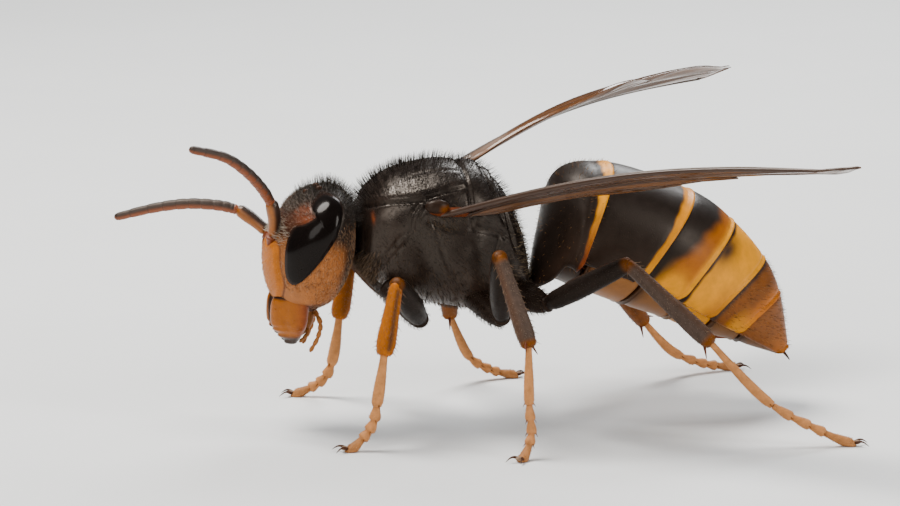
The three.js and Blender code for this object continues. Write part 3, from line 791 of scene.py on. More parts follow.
def eye_radius(turn):
    """The eye outline's distance from its middle at each direction."""
    line = smooth_line(EYE_OUTLINE, 240, closed=True) - EYE_MIDDLE
    angle = np.arctan2(line[:, 1], line[:, 0])
    order = np.argsort(angle)
    return np.interp(
        turn, angle[order], np.hypot(line[:, 0], line[:, 1])[order], period=2 * np.pi
    )


def eye_depth_at(x, z):
    """A signed distance to the eye's rim in the side view, about millimetres, negative inside."""
    v = np.stack([x, z], -1) - EYE_MIDDLE
    turn = np.arctan2(v[..., 1], v[..., 0])
    r = np.linalg.norm(v, axis=-1)
    rim = smooth_line(EYE_OUTLINE, 60, closed=True)
    away = distance_to_line(np.stack([x, z], -1), rim)
    return np.where(r < eye_radius(turn), -away, away)


def clypeus_edge():
    right = CLYPEUS_OUTLINE
    left = CLYPEUS_OUTLINE[::-1] * [-1, 1]
    return smooth_line(np.vstack([right, left]), 80, closed=True)


def inside(points, line):
    """Whether 2-D points lie inside a closed line: an odd number of its stretches is passed to the
    right of the point."""
    x, y = points[..., 0], points[..., 1]
    crossed = np.zeros(x.shape, bool)
    for a, b in zip(line, np.roll(line, -1, 0)):
        spans = (a[1] > y) != (b[1] > y)
        slope = (b[0] - a[0]) / (b[1] - a[1] if abs(b[1] - a[1]) > 1e-9 else 1e-9)
        crossed ^= spans & (x < a[0] + (y - a[1]) * slope)
    return crossed


def head_surface():
    """Flat superellipse slices from mouth to crown, then sockets, shield and furrows pushed into
    them and the colours laid on by place."""
    look = bpy.context.scene.hornet
    t = np.linspace(0, 1, 160)
    z, face, back, half = rows_at(HEAD_KNOTS, t).T
    angle = np.linspace(0, 2 * np.pi, 240, endpoint=False)
    c, s = round_power(np.cos(angle), HEAD_POWER), round_power(np.sin(angle), HEAD_POWER)
    middle = face + HEAD_MIDDLE * (back - face)
    reach = np.where(s > 0, (middle - face)[:, None], (back - middle)[:, None])
    points = np.stack([
        middle[:, None] - reach * s,
        half[:, None] * c,
        np.broadcast_to(z[:, None], (len(t), len(angle))),
    ], -1)
    head = Surface(domed(points, 0.25, 0.05, 8))
    x, y, z = np.moveaxis(head.points, -1, 0)
    eye = eye_depth_at(x, z)
    sideways = ease(1.0, 1.6, np.abs(y)) * (z > 7.0)
    face_side = ease(-7.2, -7.9, x)
    flat = np.stack([y, z], -1)
    edge = clypeus_edge()
    away = distance_to_line(flat, edge)
    shield = inside(flat, edge) & (x < -7.3)
    lift = np.zeros(x.shape)
    # The eye's bed, with a fine raised rim round it.
    lift -= 0.3 * ease(0.02, -0.12, eye) * sideways
    lift += 0.03 * bell(eye, 0.14, 0.05) * sideways
    # The clypeus bulges and has a furrow round it, the face a ridge between the feelers.
    lift += np.where(shield, 0.16 * ease(0.0, 0.35, away), -0.03 * bell(away, 0, 0.06) * face_side)
    lift += 0.18 * bell(y, 0, 0.35) * bell(z, 9.9, 0.5) * face_side
    lift -= 0.07 * bell(y, 0, 0.05) * ease(9.9, 10.4, z) * face_side
    # A furrow runs from the foot of the eye to the jaw.
    cheek = smooth_line([[-7.9, 7.35], [-7.75, 6.9], [-7.3, 6.45]], 12)
    lift -= 0.06 * bell(distance_to_line(np.stack([x, z], -1), cheek), 0, 0.06) * sideways
    for side in (-1, 1):
        root = np.array(FEELERS["left" if side < 0 else "right"][0])
        far = np.linalg.norm(head.points - root, axis=-1)
        lift += 0.08 * bell(far, 0.5, 0.1) - 0.15 * bell(far, 0.25, 0.15)
    head.push(lift)
    # Colours: orange face and cheeks, red-brown round the feelers, black crown and nape.
    black, orange, brown = look.shell_black, look.face_orange, look.red_brown
    pale = np.array([0.30, 0.17, 0.10])
    tone = np.zeros(x.shape + (3,)) + np.array(black)
    low_cheek = ease(9.9, 8.9, z + 0.55 * (x + 6.4)) * ease(-5.4, -5.9, x - 0.12 * (z - 8))
    tone = blend(tone, np.array(orange) * 0.62 + pale * 0.2, low_cheek)
    front = ease(-7.0, -7.5, x) * ease(9.3, 9.8, z)
    tone = blend(tone, np.array(brown) * 0.2, front)
    tone = blend(tone, np.array(black), ease(10.5, 11.0, z) * ease(-6.8, -7.3, x))
    notch = bell(np.hypot(x + 7.5, z - 10.75), 0, 0.42)
    notch = notch * ease(0, 0.1, eye) * ease(0.9, 1.5, np.abs(y))
    tone = blend(tone, np.array(brown) * 0.85 + 0.006, clamp01(notch * 1.6))
    lower_face = ease(9.5, 9.0, z) * ease(-7.0, -7.6, x)
    tone = blend(tone, np.array(orange) * 0.6 + pale * 0.25, lower_face)
    tone = blend(tone, np.array(orange), (shield * ease(0.0, 0.12, away)))
    seam = bell(away, 0, 0.05) * face_side * (z < 9.7)
    tone = blend(tone, np.array(brown) * 0.35, seam * 0.8)
    tone = blend(tone, np.array(black), ease(0.03, -0.03, eye) * sideways)
    tone = blend(tone, np.array(brown) * 0.4, ease(6.35, 6.1, z))
    head.tint(tone, 0.42 + 0.1 * ease(10.0, 8.5, z))
    return head


def eye_surface(side):
    """A cap over the kidney outline: the head's side surface at r times the outline, raised by
    proud (1 - r^10)^(1/2) and a little more towards its middle, with a flat bed behind it."""
    look = bpy.context.scene.hornet
    r = np.append(
        np.sin(np.linspace(0.01, np.pi / 2, EYE_ROWS)), np.linspace(0.985, 0.5, 6)
    )
    turn = np.linspace(-np.pi, np.pi, 140, endpoint=False)
    reach = eye_radius(turn) + EYE_OVERLAP
    x = EYE_MIDDLE[0] + r[:, None] * reach * np.cos(turn)
    z = EYE_MIDDLE[1] + r[:, None] * reach * np.sin(turn)
    front = np.arange(len(r)) < EYE_ROWS
    dome = EYE_RIM + (look.eye_height / MM - EYE_RIM) * np.sqrt(clamp01(1 - r**10))
    proud = np.where(front, dome, EYE_BACK)
    proud = proud + 0.08 * np.where(front, 1 - r**2, 0)
    y = side * (head_side(x, z) + proud[:, None])
    eye = Surface(np.stack([x, y, z], -1))
    rim = ease(0.93, 1.0, np.where(front, r, 1))[:, None]
    tone = blend(
        np.zeros(x.shape + (3,)) + np.array(look.eye_brown), [0.02, 0.01, 0.007],
        rim * np.ones(x.shape),
    )
    return eye.tint(tone, 0.2)


def bead(place, radius, colour, shine, squeeze=(1, 1, 1)):
    """A small ball: latitude and longitude rings about a place."""
    a = np.linspace(0.05, np.pi - 0.05, 12)[:, None]
    b = np.linspace(0, 2 * np.pi, 20, endpoint=False)[None]
    ball = np.stack([np.sin(a) * np.cos(b), np.sin(a) * np.sin(b), np.cos(a) + 0 * b], -1)
    return Surface(np.array(place) + radius * ball * squeeze).tint(colour, shine).part()


class HORNET_OT_head(bpy.types.Operator):
    """Head skin with its face shield, feeler sockets and simple eyes"""

    bl_idname = "hornet.head"
    bl_label = "Head"

    def execute(self, context):
        look = context.scene.hornet
        parts = [head_surface().part()]
        for root, elbow, *_ in FEELERS.values():
            root, elbow = np.array(root), np.array(elbow)
            way = unit(elbow - root)
            path = root + np.linspace(-0.35, 0.16, 8)[:, None] * way
            radii = 0.33 + 0.05 * bell(np.linspace(-0.35, 0.16, 8), 0.12, 0.1)
            collar = tube(path, radii, 28, ref=(0, 1, 0), caps=(0.05, 0.04))
            parts.append(collar.tint(np.array(look.red_brown) * 0.8, 0.4).part())
        make_object("head_skin", parts, material("head_shell"), ["head"])
        simple = [
            bead(place, 0.17, (0.05, 0.02, 0.01), 0.1)
            for place in [(-7.05, 0, 11.4), (-6.5, 0.42, 11.62), (-6.5, -0.42, 11.62)]
        ]
        make_object("simple_eyes", simple, material("eye"))
        return {"FINISHED"}


class HORNET_OT_eyes(bpy.types.Operator):
    """The two kidney-shaped compound eyes"""

    bl_idname = "hornet.eyes"
    bl_label = "Eyes"

    def execute(self, context):
        for name, side in SIDES.items():
            part = eye_surface(side).part()
            make_object(f"eye_{name}_skin", [part], material("eye"), [f"eye_{name}"])
        return {"FINISHED"}


def jaw_surface(side, look):
    """Oval slices down the jaw, with two notches along the front edge near its tip, which leave
    blunt teeth, and a dark worn edge."""
    rows = np.array([
        [6.75, -8.5, 0.5, -7.3, 1.55, 0.38],
        [6.2, -8.82, 0.36, -7.25, 1.55, 0.42],
        [5.25, -8.86, 0.3, -7.32, 1.4, 0.42],
        [4.7, -8.58, 0.28, -7.45, 1.05, 0.34],
        [4.2, -8.15, 0.28, -7.65, 0.6, 0.2],
    ])
    t = np.linspace(0, 1, 90)
    z, front, front_y, back, back_y, thick = rows_at(rows, t).T
    tooth = 0.07 * np.cos(np.clip((z - 4.2) / 0.34, 0, 3.5) * 2 * np.pi) * ease(5.3, 4.8, z)
    front = front - tooth + 0.05
    angle = np.linspace(0, 2 * np.pi, 72, endpoint=False)
    c, s = round_power(np.cos(angle), 0.75), round_power(np.sin(angle), 0.75)
    run = np.hypot(back - front, back_y - front_y)
    way_x, way_y = (back - front) / run, (back_y - front_y) / run
    # The outer face swells more than the inner one.
    swell = np.where(s > 0, 1.15, 0.8)
    points = np.stack([
        ((front + back) / 2)[:, None] - ((back - front) / 2)[:, None] * c
        - (thick * way_y)[:, None] * s * swell,
        side * (
            ((front_y + back_y) / 2)[:, None] - ((back_y - front_y) / 2)[:, None] * c
            + (thick * way_x)[:, None] * s * swell
        ),
        z[:, None] + 0 * angle,
    ], -1)
    jaw = Surface(domed(points, 0.1, 0.12, 6))
    x, y, z = np.moveaxis(jaw.points, -1, 0)
    down = rows_at(rows, t[::-1])
    front_x = np.interp(z, down[:, 0], down[:, 1])
    jaw.push(-0.05 * bell(x - front_x, 0.55, 0.12) * ease(4.6, 5.2, z) * ease(6.5, 6.0, z))
    tone = np.zeros(x.shape + (3,)) + np.array(look.face_orange) * 0.75
    tone = blend(tone, np.array(look.red_brown), ease(-8.1, -7.3, x))
    cutting = ease(0.3, 0.1, x - front_x) * ease(0.42, 0.3, np.abs(y) - 0.1 * ease(5.4, 6.4, z))
    dark = clamp01(cutting + ease(4.7, 4.4, z) + ease(6.35, 6.5, z))
    tone = blend(tone, [0.02, 0.008, 0.005], dark)
    return jaw.tint(tone, 0.32)


def jointed(points, radius, pieces, look_colour, dark_colour):
    """A row of short drums along a path, each narrow at its root and round at its end."""
    path = smooth_line(points, pieces * 14)
    share = np.linspace(0, pieces, len(path))
    within = share - np.floor(share - 1e-6)
    swell = 0.72 + 0.34 * ease(0, 0.55, within) - 0.3 * ease(0.88, 1.0, within)
    radii = radius * swell * (1 - PALP_TAPER * share / pieces)
    made = tube(path, radii, 18, ref=(0, 1, 0), caps=(0.02, radius * 0.6))
    seam = np.zeros(len(made.points))
    first = (len(made.points) - len(path)) // 2
    seam[first : first + len(path)] = ease(0.86, 1.0, within)
    tone = np.array(look_colour) + (np.array(dark_colour) - look_colour) * seam[:, None, None]
    return made.tint(np.broadcast_to(tone, made.points.shape), 0.4)


class HORNET_OT_mouth(bpy.types.Operator):
    """Jaws, lower lip and palps"""

    bl_idname = "hornet.mouth"
    bl_label = "Mouth"

    def execute(self, context):
        look = context.scene.hornet
        for name, side in SIDES.items():
            make_object(
                f"jaw_{name}", [jaw_surface(side, look).part()], material("head_shell"),
                [f"mandible_{name}"],
            )
        amber = np.array(look.face_orange) * 0.7 + np.array([0.06, 0.05, 0.03])
        dark = np.array(look.red_brown) * 0.6
        lip = tube(
            smooth_line([[-7.1, 0, 6.1], [-7.0, 0, 5.4], [-7.15, 0, 4.85], [-7.4, 0, 4.55]], 24),
            np.linspace(0.5, 0.22, 24), 24, ref=(0, 1, 0), flat=0.8, caps=(0.1, 0.12),
        ).tint(amber * 0.7, 0.4)
        parts = [lip.part()]
        for side in (-1, 1):
            long_palp = [[-6.75, side * 0.3, 5.7], [-6.55, side * 0.9, 5.15],
                         [-6.7, side * 1.05, 4.5], [-7.05, side * 1.0, 3.85]]
            short_palp = [
                [-7.1, side * 0.2, 5.1], [-7.1, side * 0.4, 4.6], [-7.45, side * 0.42, 4.2]
            ]
            parts.append(jointed(long_palp, 0.13, 6, amber, dark).part())
            parts.append(jointed(short_palp, 0.11, 4, amber, dark).part())
        make_object("mouth_skin", parts, material("limb"), ["mouthparts"])
        return {"FINISHED"}


class HORNET_OT_feelers(bpy.types.Operator):
    """Feelers: a long first piece, a small second one and a lash of ten drums"""

    bl_idname = "hornet.feelers"
    bl_label = "Feelers"

    def execute(self, context):
        look = context.scene.hornet
        rust, dark = np.array(look.feeler_rust), np.array(look.feeler_dark)
        orange = np.array(look.face_orange)
        for name, points in FEELERS.items():
            points = np.array(points)
            root, elbow, lash = points[0], points[1], points[2:]
            way = unit(elbow - root)
            start = root + 0.1 * way
            share = np.linspace(0, 1, 40)
            bow = 0.1 * np.sin(np.pi * share)[:, None] * np.array([1.0, 0, -0.3])
            path = start + share[:, None] * (elbow + 0.08 * way - start) + bow
            radii = 0.17 + 0.12 * ease(0.0, 0.16, share) + 0.04 * bell(share, 0.75, 0.25)
            radii = radii - 0.07 * ease(0.93, 1.0, share)
            scape = tube(path, radii, 36, ref=(0, 1, 0), caps=(0.05, 0.1))
            rear = scape.normals() @ unit(np.array([0.9, 0.1, 0.35]))
            tone = blend(orange * 0.6 + 0 * scape.points, dark, ease(-0.6, 0.15, rear))
            scape.tint(tone, 0.35)
            make_object(
                f"feeler_base_{name}", [scape.part()], material("feeler"),
                [f"scape_{name}"],
            )
            turn = elbow + 0.2 * unit(lash[0] - elbow)
            small = tube(
                np.linspace(elbow, turn + 0.12 * unit(lash[0] - elbow), 14),
                0.2 + 0.05 * bell(np.linspace(0, 1, 14), 0.7, 0.3), 30, ref=(0, 1, 0),
                caps=(0.1, 0.08),
            ).tint(np.array(look.red_brown) * 0.9, 0.35)
            path = smooth_line(np.vstack([turn, lash]), LASH_PIECES * 16)
            share = np.linspace(0, LASH_PIECES, len(path))
            within = share - np.floor(share - 1e-6)
            swell = 0.92 + 0.08 * ease(0, 0.5, within) - 0.08 * ease(0.9, 1.0, within)
            taper = 0.86 + 0.14 * ease(0, 1.5, share) - 0.3 * (share / LASH_PIECES) ** 4
            lash_skin = tube(
                path, LASH_RADIUS * swell * taper, 32, ref=(0, 1, 0), caps=(0.05, 0.16)
            )
            under = lash_skin.normals() @ unit(np.array([-0.25, 0.0, -1.0]))
            tone = blend(dark + 0 * lash_skin.points, rust, ease(-0.2, 0.5, under))
            seam = np.zeros(len(lash_skin.points))
            first = (len(seam) - len(path)) // 2
            seam[first : first + len(path)] = ease(0.9, 1.0, within)
            tone = blend(tone, dark * 0.5, np.broadcast_to(seam[:, None], tone.shape[:2]) * 0.6)
            lash_skin.tint(tone, 0.52)
            make_object(
                f"feeler_lash_{name}", [small.part(), lash_skin.part()], material("feeler"),
                [f"flagellum_{name}"],
            )
        return {"FINISHED"}


# Thorax


def thorax_grid(t, angle):
    """Ovals across the body along the thorax, widest two thirds of the way up; angle 0 is the
    animal's right side and a quarter turn is its back."""
    x, top, bottom, half = rows_at(THORAX_KNOTS, t).T
    c, s = round_power(np.cos(angle), THORAX_POWER), round_power(np.sin(angle), THORAX_POWER)
    middle = bottom + THORAX_WIDEST * (top - bottom)
    reach = np.where(s > 0, (top - middle)[:, None], (middle - bottom)[:, None])
    return np.stack([
        np.broadcast_to(x[:, None], (len(t), len(angle))),
        half[:, None] * c,
        middle[:, None] + reach * s,
    ], -1)


def thorax_surface():
    """The thorax's ovals with seams between its plates cut in, and the two cushions behind the
    back raised."""
    look = bpy.context.scene.hornet
    angle = np.linspace(0, 2 * np.pi, 210, endpoint=False)
    grid = thorax_grid(np.linspace(0, 1, 180), angle)
    body = Surface(domed(grid, 0.3, 0.12, 8))
    x, y, z = np.moveaxis(body.points, -1, 0)
    side = np.stack([x, z], -1)
    upper = ease(9.6, 10.4, z)
    lift = np.zeros(x.shape)
    # The back's side edge runs to the wing, and the collar's rear edge goes down from there.
    margin = smooth_line(
        [[-4.5, 10.75], [-3.6, 11.1], [-2.2, 11.25], [-0.9, 11.6], [0.2, 11.75]], 30
    )
    near = distance_to_line(side, margin) * (z < 13)
    outer = ease(0.8, 1.4, np.abs(y))
    above = z - np.interp(x, margin[:, 0], margin[:, 1])
    lift -= 0.1 * bell(near, 0, 0.07) * outer
    lift += 0.06 * bell(above, 0.28, 0.22) * outer * ease(-4.4, -3.8, x) * ease(0.9, 0.2, x)
    ridge = smooth_line([[-1.9, 11.1], [-2.3, 10.5], [-2.45, 9.8], [-2.97, 9.2], [-3.7, 8.1]], 30)
    near = distance_to_line(side, ridge)
    lift += 0.09 * bell(near, 0, 0.09) * ease(9.0, 9.5, z) * outer
    lift -= 0.07 * bell(near, 0.16, 0.06) * outer
    # Lines along the back, a seam before each cushion, and one below the wing roots.
    lift -= 0.03 * bell(np.abs(y), 0, 0.07) * bell(x, -2.0, 1.3) * upper
    lift -= 0.045 * bell(np.abs(y), 1.5, 0.08) * bell(x, -0.9, 1.1) * upper
    lift -= 0.13 * bell(x, 0.32 + 0.06 * y**2 / 4, 0.1) * upper
    lift += 0.22 * bell(x, 1.0, 0.45) * bell(y, 0, 1.5) * upper
    lift -= 0.12 * bell(x + 0.35 * (z - 11.5), 1.65, 0.1) * upper
    lift += 0.12 * bell(x + 0.35 * (z - 11.5), 1.95, 0.22) * bell(y, 0, 1.3) * upper
    lift -= 0.12 * bell(x + 0.25 * (z - 10.5), 2.3, 0.09) * ease(8.2, 9.2, z)
    lift -= 0.07 * bell(y, 0, 0.12) * ease(2.5, 3.1, x) * ease(7.5, 8.5, z)
    under_wing = smooth_line([[-1.7, 10.35], [-0.5, 9.9], [0.9, 9.8], [2.2, 9.3]], 24)
    lift -= 0.12 * bell(distance_to_line(side, under_wing), 0, 0.1) * ease(1.2, 2.0, np.abs(y))
    flank = smooth_line([[-1.4, 10.2], [-0.9, 8.6], [-0.2, 7.0], [-0.1, 6.2]], 24)
    lift -= 0.08 * bell(distance_to_line(side, flank), 0, 0.09) * ease(1.0, 1.8, np.abs(y))
    hind = smooth_line([[1.9, 9.2], [1.6, 8.0], [1.7, 6.6]], 24)
    lift -= 0.08 * bell(distance_to_line(side, hind), 0, 0.09) * ease(0.8, 1.6, np.abs(y))
    # The plates of the side swell between their seams: x, z, breadth and swell of each.
    for at_x, at_z, breadth, swell in (
        (-1.2, 8.3, 1.0, 0.16), (-3.3, 9.9, 0.55, 0.1), (0.75, 8.9, 0.5, 0.12),
        (0.6, 7.4, 0.6, 0.1), (2.6, 8.3, 0.5, 0.08), (1.0, 10.4, 0.35, 0.1),
    ):
        lift += swell * bell(np.hypot(x - at_x, z - at_z), 0, breadth) * outer
    body.push(lift)
    tone = np.zeros(x.shape + (3,)) + np.array(look.shell_black)
    warm = 0.5 * ease(8.5, 6.5, z) + 0.25 * bell(x, -3.6, 0.8)
    tone = blend(tone, np.array(look.shell_brown), clamp01(warm))
    spot = bell(np.hypot((x + 4.15) / 0.07, (z - 10.4) / 0.25), 0, 1) * ease(0.8, 1.4, np.abs(y))
    tone = blend(tone, np.array(look.red_brown), 0.8 * spot)
    return body.tint(tone, 0.33 - 0.03 * upper)


class HORNET_OT_thorax(bpy.types.Operator):
    """Thorax skin with its plates, seams and neck, and the caps over the wing roots"""

    bl_idname = "hornet.thorax"
    bl_label = "Thorax"

    def execute(self, context):
        look = context.scene.hornet
        neck = tube(
            smooth_line([[-5.4, 0, 9.2], [-4.8, 0, 9.2], [-4.2, 0, 9.2]], 16), 0.62, 30,
            ref=(0, 0, 1), caps=(0.05, 0.05),
        ).tint(np.array(look.red_brown) * 0.35, 0.5)
        make_object(
            "thorax_skin", [thorax_surface().part(), neck.part()], material("dark_shell"),
            ["pronotum", "mesothorax", "propodeum"],
        )
        for name, side in SIDES.items():
            cap = bead((-1.3, side * 3.2, 11.05), 1.0, (0, 0, 0), 0.35, (0.6, 0.3, 0.34))
            edge = ease(0.1, 0.3, cap.verts[:, 0] + 1.35) * ease(11.2, 11.0, cap.verts[:, 2])
            cap.colour = blend(
                np.zeros((len(edge), 3)) + np.array(look.shell_brown) * 0.5,
                np.array(look.face_orange) * 0.3, edge,
            )
            root = [
                [-1.5, side * 2.75, 10.8], [-0.9, side * 3.05, 10.75], [0.05, side * 3.1, 10.72]
            ]
            hinge = tube(smooth_line(root, 14), 0.23, 20, caps=(0.22, 0.2))
            hinge.tint(np.array(look.red_brown) * 0.55, 0.45)
            make_object(
                f"wing_cap_{name}", [cap, hinge.part()], material("limb"),
                [f"tegula_{name}"],
            )
        return {"FINISHED"}


# Gaster


def gaster_points(place, turn):
    """Leaning ovals between a top and a bottom line; turn 0 is the top, a half turn the underside,
    and the sides bend forward by bend (y / half)^2."""
    share = place / (len(GASTER_KNOTS) - 1)
    top_x, top_z, low_x, low_z, half, bend = rows_at(GASTER_KNOTS, share).T
    top = np.stack([top_x, 0 * top_x, top_z], -1)
    low = np.stack([low_x, 0 * low_x, low_z], -1)
    up = unit(top - low)
    reach = np.linalg.norm(top - low, axis=-1) / 2
    c = round_power(np.cos(turn), GASTER_POWER)
    s = round_power(np.sin(turn), GASTER_POWER)
    points = (top + low)[..., None, :] / 2 + (reach[:, None] * c)[..., None] * up[:, None]
    points[..., 1] += half[:, None] * s
    points[..., 0] -= bend[:, None] * (points[..., 1] / half[:, None]) ** 2
    return points


def band_of(index, along, turn, look):
    """The colour of a back plate at a share of its length and a turn from the top."""
    black, orange = np.array(look.shell_black), np.array(look.band_yellow)
    brown, red = np.array(look.shell_brown), np.array(look.red_brown)
    a, down = np.broadcast_arrays(along, np.abs(turn))
    low = ease(0.9, 2.0, down)
    tone = np.zeros(a.shape + (3,)) + black
    ragged = 0.02 * np.sin(turn * 9.0) + 0.012 * np.sin(turn * 23.0 + 1.0)
    if index == 0:
        edge = 0.935 + 0.02 * low + 0.3 * ragged
        tone = blend(tone, brown, low * 0.6)
        tone = blend(tone, blend(orange + 0 * tone, red * 1.2, low), ease(-0.012, 0.012, a - edge))
    elif index == 1:
        edge = 0.83 + 0.06 * ease(0.4, 1.4, down) + 0.4 * ragged
        dull = 0.62 * orange + 0.38 * np.array(look.face_orange)
        band = blend(dull + 0 * tone, orange, ease(1.5, 2.0, down))
        tone = blend(tone, brown, 0.35 * low)
        tone = blend(tone, band, ease(-0.02, 0.02, a - edge))
    elif index == 2:
        edge = 0.6 - 0.28 * ease(0.5, 1.7, down) + 1.5 * ragged
        warm = blend(np.array(look.face_orange) * 0.75 + 0 * tone, orange, ease(0.75, 0.95, a))
        tone = blend(tone, warm, ease(-0.16, 0.16, a - edge))
        spot = bell(np.hypot((a - 0.55) / 0.32, (down - 1.86) / 0.22), 0, 1)
        tone = blend(tone, orange, clamp01(spot * 1.6))
        tone = blend(tone, black, ease(0.17, 0.08, a))
    elif index == 3:
        edge = 0.05 + 0.5 * ragged
        tone = blend(tone, orange, ease(-0.04, 0.04, a - edge))
        tone = blend(tone, np.array(look.face_orange) * 0.6, 0.6 * low * ease(0.45, 0.8, a))
        nick = bell(np.hypot((a - 0.1) / 0.22, (down - 0.9) / 0.3), 0, 1)
        tone = blend(tone, brown, nick)
    elif index == 4:
        rust = np.array(look.face_orange)
        tone = blend(rust * 0.4 + 0 * tone, rust * 1.1, ease(0.55, 0.97, a))
        tone = blend(tone, orange * 0.8, ease(1.2, 2.0, down) * ease(0.3, 0.7, a))
        tone = blend(tone, brown, bell(a, 0.02, 0.08))
    else:
        rust = np.array(look.face_orange)
        tone = blend(rust * 0.42 + 0 * tone, rust * 0.8, ease(0.35, 1.0, a))
    return tone


def underside_tone(index, along, turn, look):
    """The colour of a belly plate: yellow-brown with a dark base, yellow on the fourth."""
    amber = np.array(look.face_orange) * 0.55 + np.array([0.05, 0.05, 0.03])
    brown, yellow = np.array(look.shell_brown), np.array(look.band_yellow)
    tones = [brown, amber, amber * 0.75, yellow * 0.85, amber * 0.6, amber * 0.5]
    a, _ = np.broadcast_arrays(along, turn)
    tone = np.zeros(a.shape + (3,)) + tones[index]
    return blend(tone, brown, 0.8 * ease(0.35, 0.1, a))


def plate_skin(index, start, end, look):
    """One back plate's sheet: a third of the way round each side, its rear edge a little lifted and
    its rear corners rounded off, its front tucked under the plate before."""
    first = index == 0
    share = np.linspace(0, 1, 90 if first else 56)
    turn = np.linspace(-1, 1, 121) * np.radians(130 if first else 118)
    outward = np.abs(turn) / turn[-1]
    edge_drop = 0.16 * ease(0.86, 1.0, outward) ** 1.5
    reach = (end - start) * (1 - edge_drop * (0.25 if first else 0.8))
    tuck = 0.0 if first else 0.14
    place = start - tuck + share[:, None] * (reach + tuck)
    columns = [gaster_points(place[:, k], turn[k : k + 1])[:, 0] for k in range(len(turn))]
    plate = Surface(np.stack(columns, 1), wrap=False)
    lift = (0.0 if first else -0.16) * ease(0.13, 0.0, share)
    lip = 0.045 * bell(share, 0.985, 0.02) - 0.03 * bell(share, 0.9, 0.03)
    side_fold = 0.06 * ease(0.93, 1.0, outward)
    plate.push(lift[:, None] + lip[:, None] - side_fold[None])
    along = np.clip((place - start) / (end - start), 0, 1)
    tone = band_of(index, along, np.broadcast_to(turn, along.shape), look)
    return plate.tint(tone, 0.4)


def back_plate(skin):
    """The sheet given a thickness."""
    rows, cols = skin.points.shape[:2]
    half = 0.05 + 0.03 * ease(0.0, 0.2, np.linspace(0, 1, rows))[:, None] * np.ones(cols)
    return slab(skin.points, skin.normals(), half, skin.colour, skin.shine)


class HORNET_OT_gaster(bpy.types.Operator):
    """Six segments, each a back plate that laps the next over a belly plate"""

    bl_idname = "hornet.gaster"
    bl_label = "Gaster"

    def execute(self, context):
        look = context.scene.hornet
        angle = np.linspace(0, 2 * np.pi, 100, endpoint=False)
        start = 0.0
        for index, end in enumerate(TERGITE_ENDS):
            first, last = index == 0, index == len(TERGITE_ENDS) - 1
            share = np.linspace(0, 1, 60 if first else 30)
            place = start + share * (end - start)
            core = gaster_points(place, angle)
            core_skin = Surface(domed(core, 0.03, 0.03 if not last else 0.05, 3))
            rows = len(core_skin.points)
            grown = np.interp(np.arange(rows), [1, rows - 2], [0, 1])
            down = np.minimum(angle, 2 * np.pi - angle)
            belly = ease(np.radians(104), np.radians(122), down)
            sunk = -0.16 + 0.1 * belly[None] * ease(0.0, 0.4, grown)[:, None]
            sunk = sunk - 0.12 * ease(0.2, 0.0, grown)[:, None] * (not first)
            core_skin.push(sunk * (1 - (0.7 * ease(0.12, 0.0, grown)[:, None] if first else 0)))
            tone = underside_tone(index, grown[:, None], down[None], look)
            if first:
                front = ease(0.5, 0.3, grown)[:, None] * np.ones(len(angle))
                tone = blend(tone, np.array(look.shell_brown), front)
            parts = [
                core_skin.tint(tone, 0.45).part(), back_plate(plate_skin(index, start, end, look))
            ]
            if first:
                waist = tube(
                    smooth_line([[3.1, 0, 6.75], [3.6, 0, 6.6], [4.0, 0, 6.58], [4.5, 0, 6.9]], 20),
                    [0.38] * 6 + [0.34] * 8 + [0.4] * 6, 30, caps=(0.1, 0.1),
                ).tint(np.array(look.shell_brown), 0.4)
                parts.append(waist.part())
            if last:
                sting = tube(
                    smooth_line([[16.5, 0, 2.75], [16.85, 0, 2.45], [17.1, 0, 2.12]], 14),
                    np.linspace(0.12, 0.025, 14), 14, caps=(0.05, 0.02),
                ).tint([0.03, 0.012, 0.006], 0.3)
                parts.append(sting.part())
            make_object(
                f"segment_{index + 1}", parts, material("gaster_shell"),
                [f"gaster_{index + 1}"],
            )
            start = float(end)
        return {"FINISHED"}


# Legs


def leg_limb(points, radii, steps, sides=26):
    """A limb piece with rounded ends, and the shares along it at which its rows stand."""
    path = smooth_line(points, steps)
    share = np.linspace(0, 1, steps)
    return tube(path, value_at(radii, share), sides, ref=(0, 1, 0), caps=(0.2, 0.2)), share


def shares_of(limb, share):
    """The share along a limb for each of its rows, its rounded ends among them."""
    return np.pad(share, (len(limb.points) - len(share)) // 2, mode="edge")[: len(limb.points)]


def spike(root, way, length, radius, colour, sides):
    """A straight tapering thorn."""
    t = np.linspace(0, 1, 9)
    path = np.array(root) + t[:, None] * length * unit(np.array(way))
    made = tube(path, radius * (1 - 0.85 * t), sides, ref=(0.3, 0.5, 0.8), caps=(0, radius * 0.1))
    return made.tint(colour, 0.3).part()


def row_of_bristles(points, radii, count, length, way, seed):
    """Stiff hairs standing off a limb at scattered places, leaning to its far end."""
    rng = np.random.default_rng(seed)
    parts = []
    for share in (np.arange(count) + rng.uniform(0.2, 0.8, count)) / count:
        at = smooth_line(points, 101)[int(share * 100)]
        along = unit(np.array(points[-1]) - np.array(points[0]))
        out = unit(way + rng.normal(0, 0.25, 3))
        out = unit(out - along * (out @ along))
        root = at + out * value_at(radii, share) * 0.9
        size = length * rng.uniform(0.7, 1.2)
        lean = out + along * 0.9
        parts.append(spike(root, lean, size, BRISTLE_RADIUS, np.array(BRISTLE_TONE), 5))
    return parts


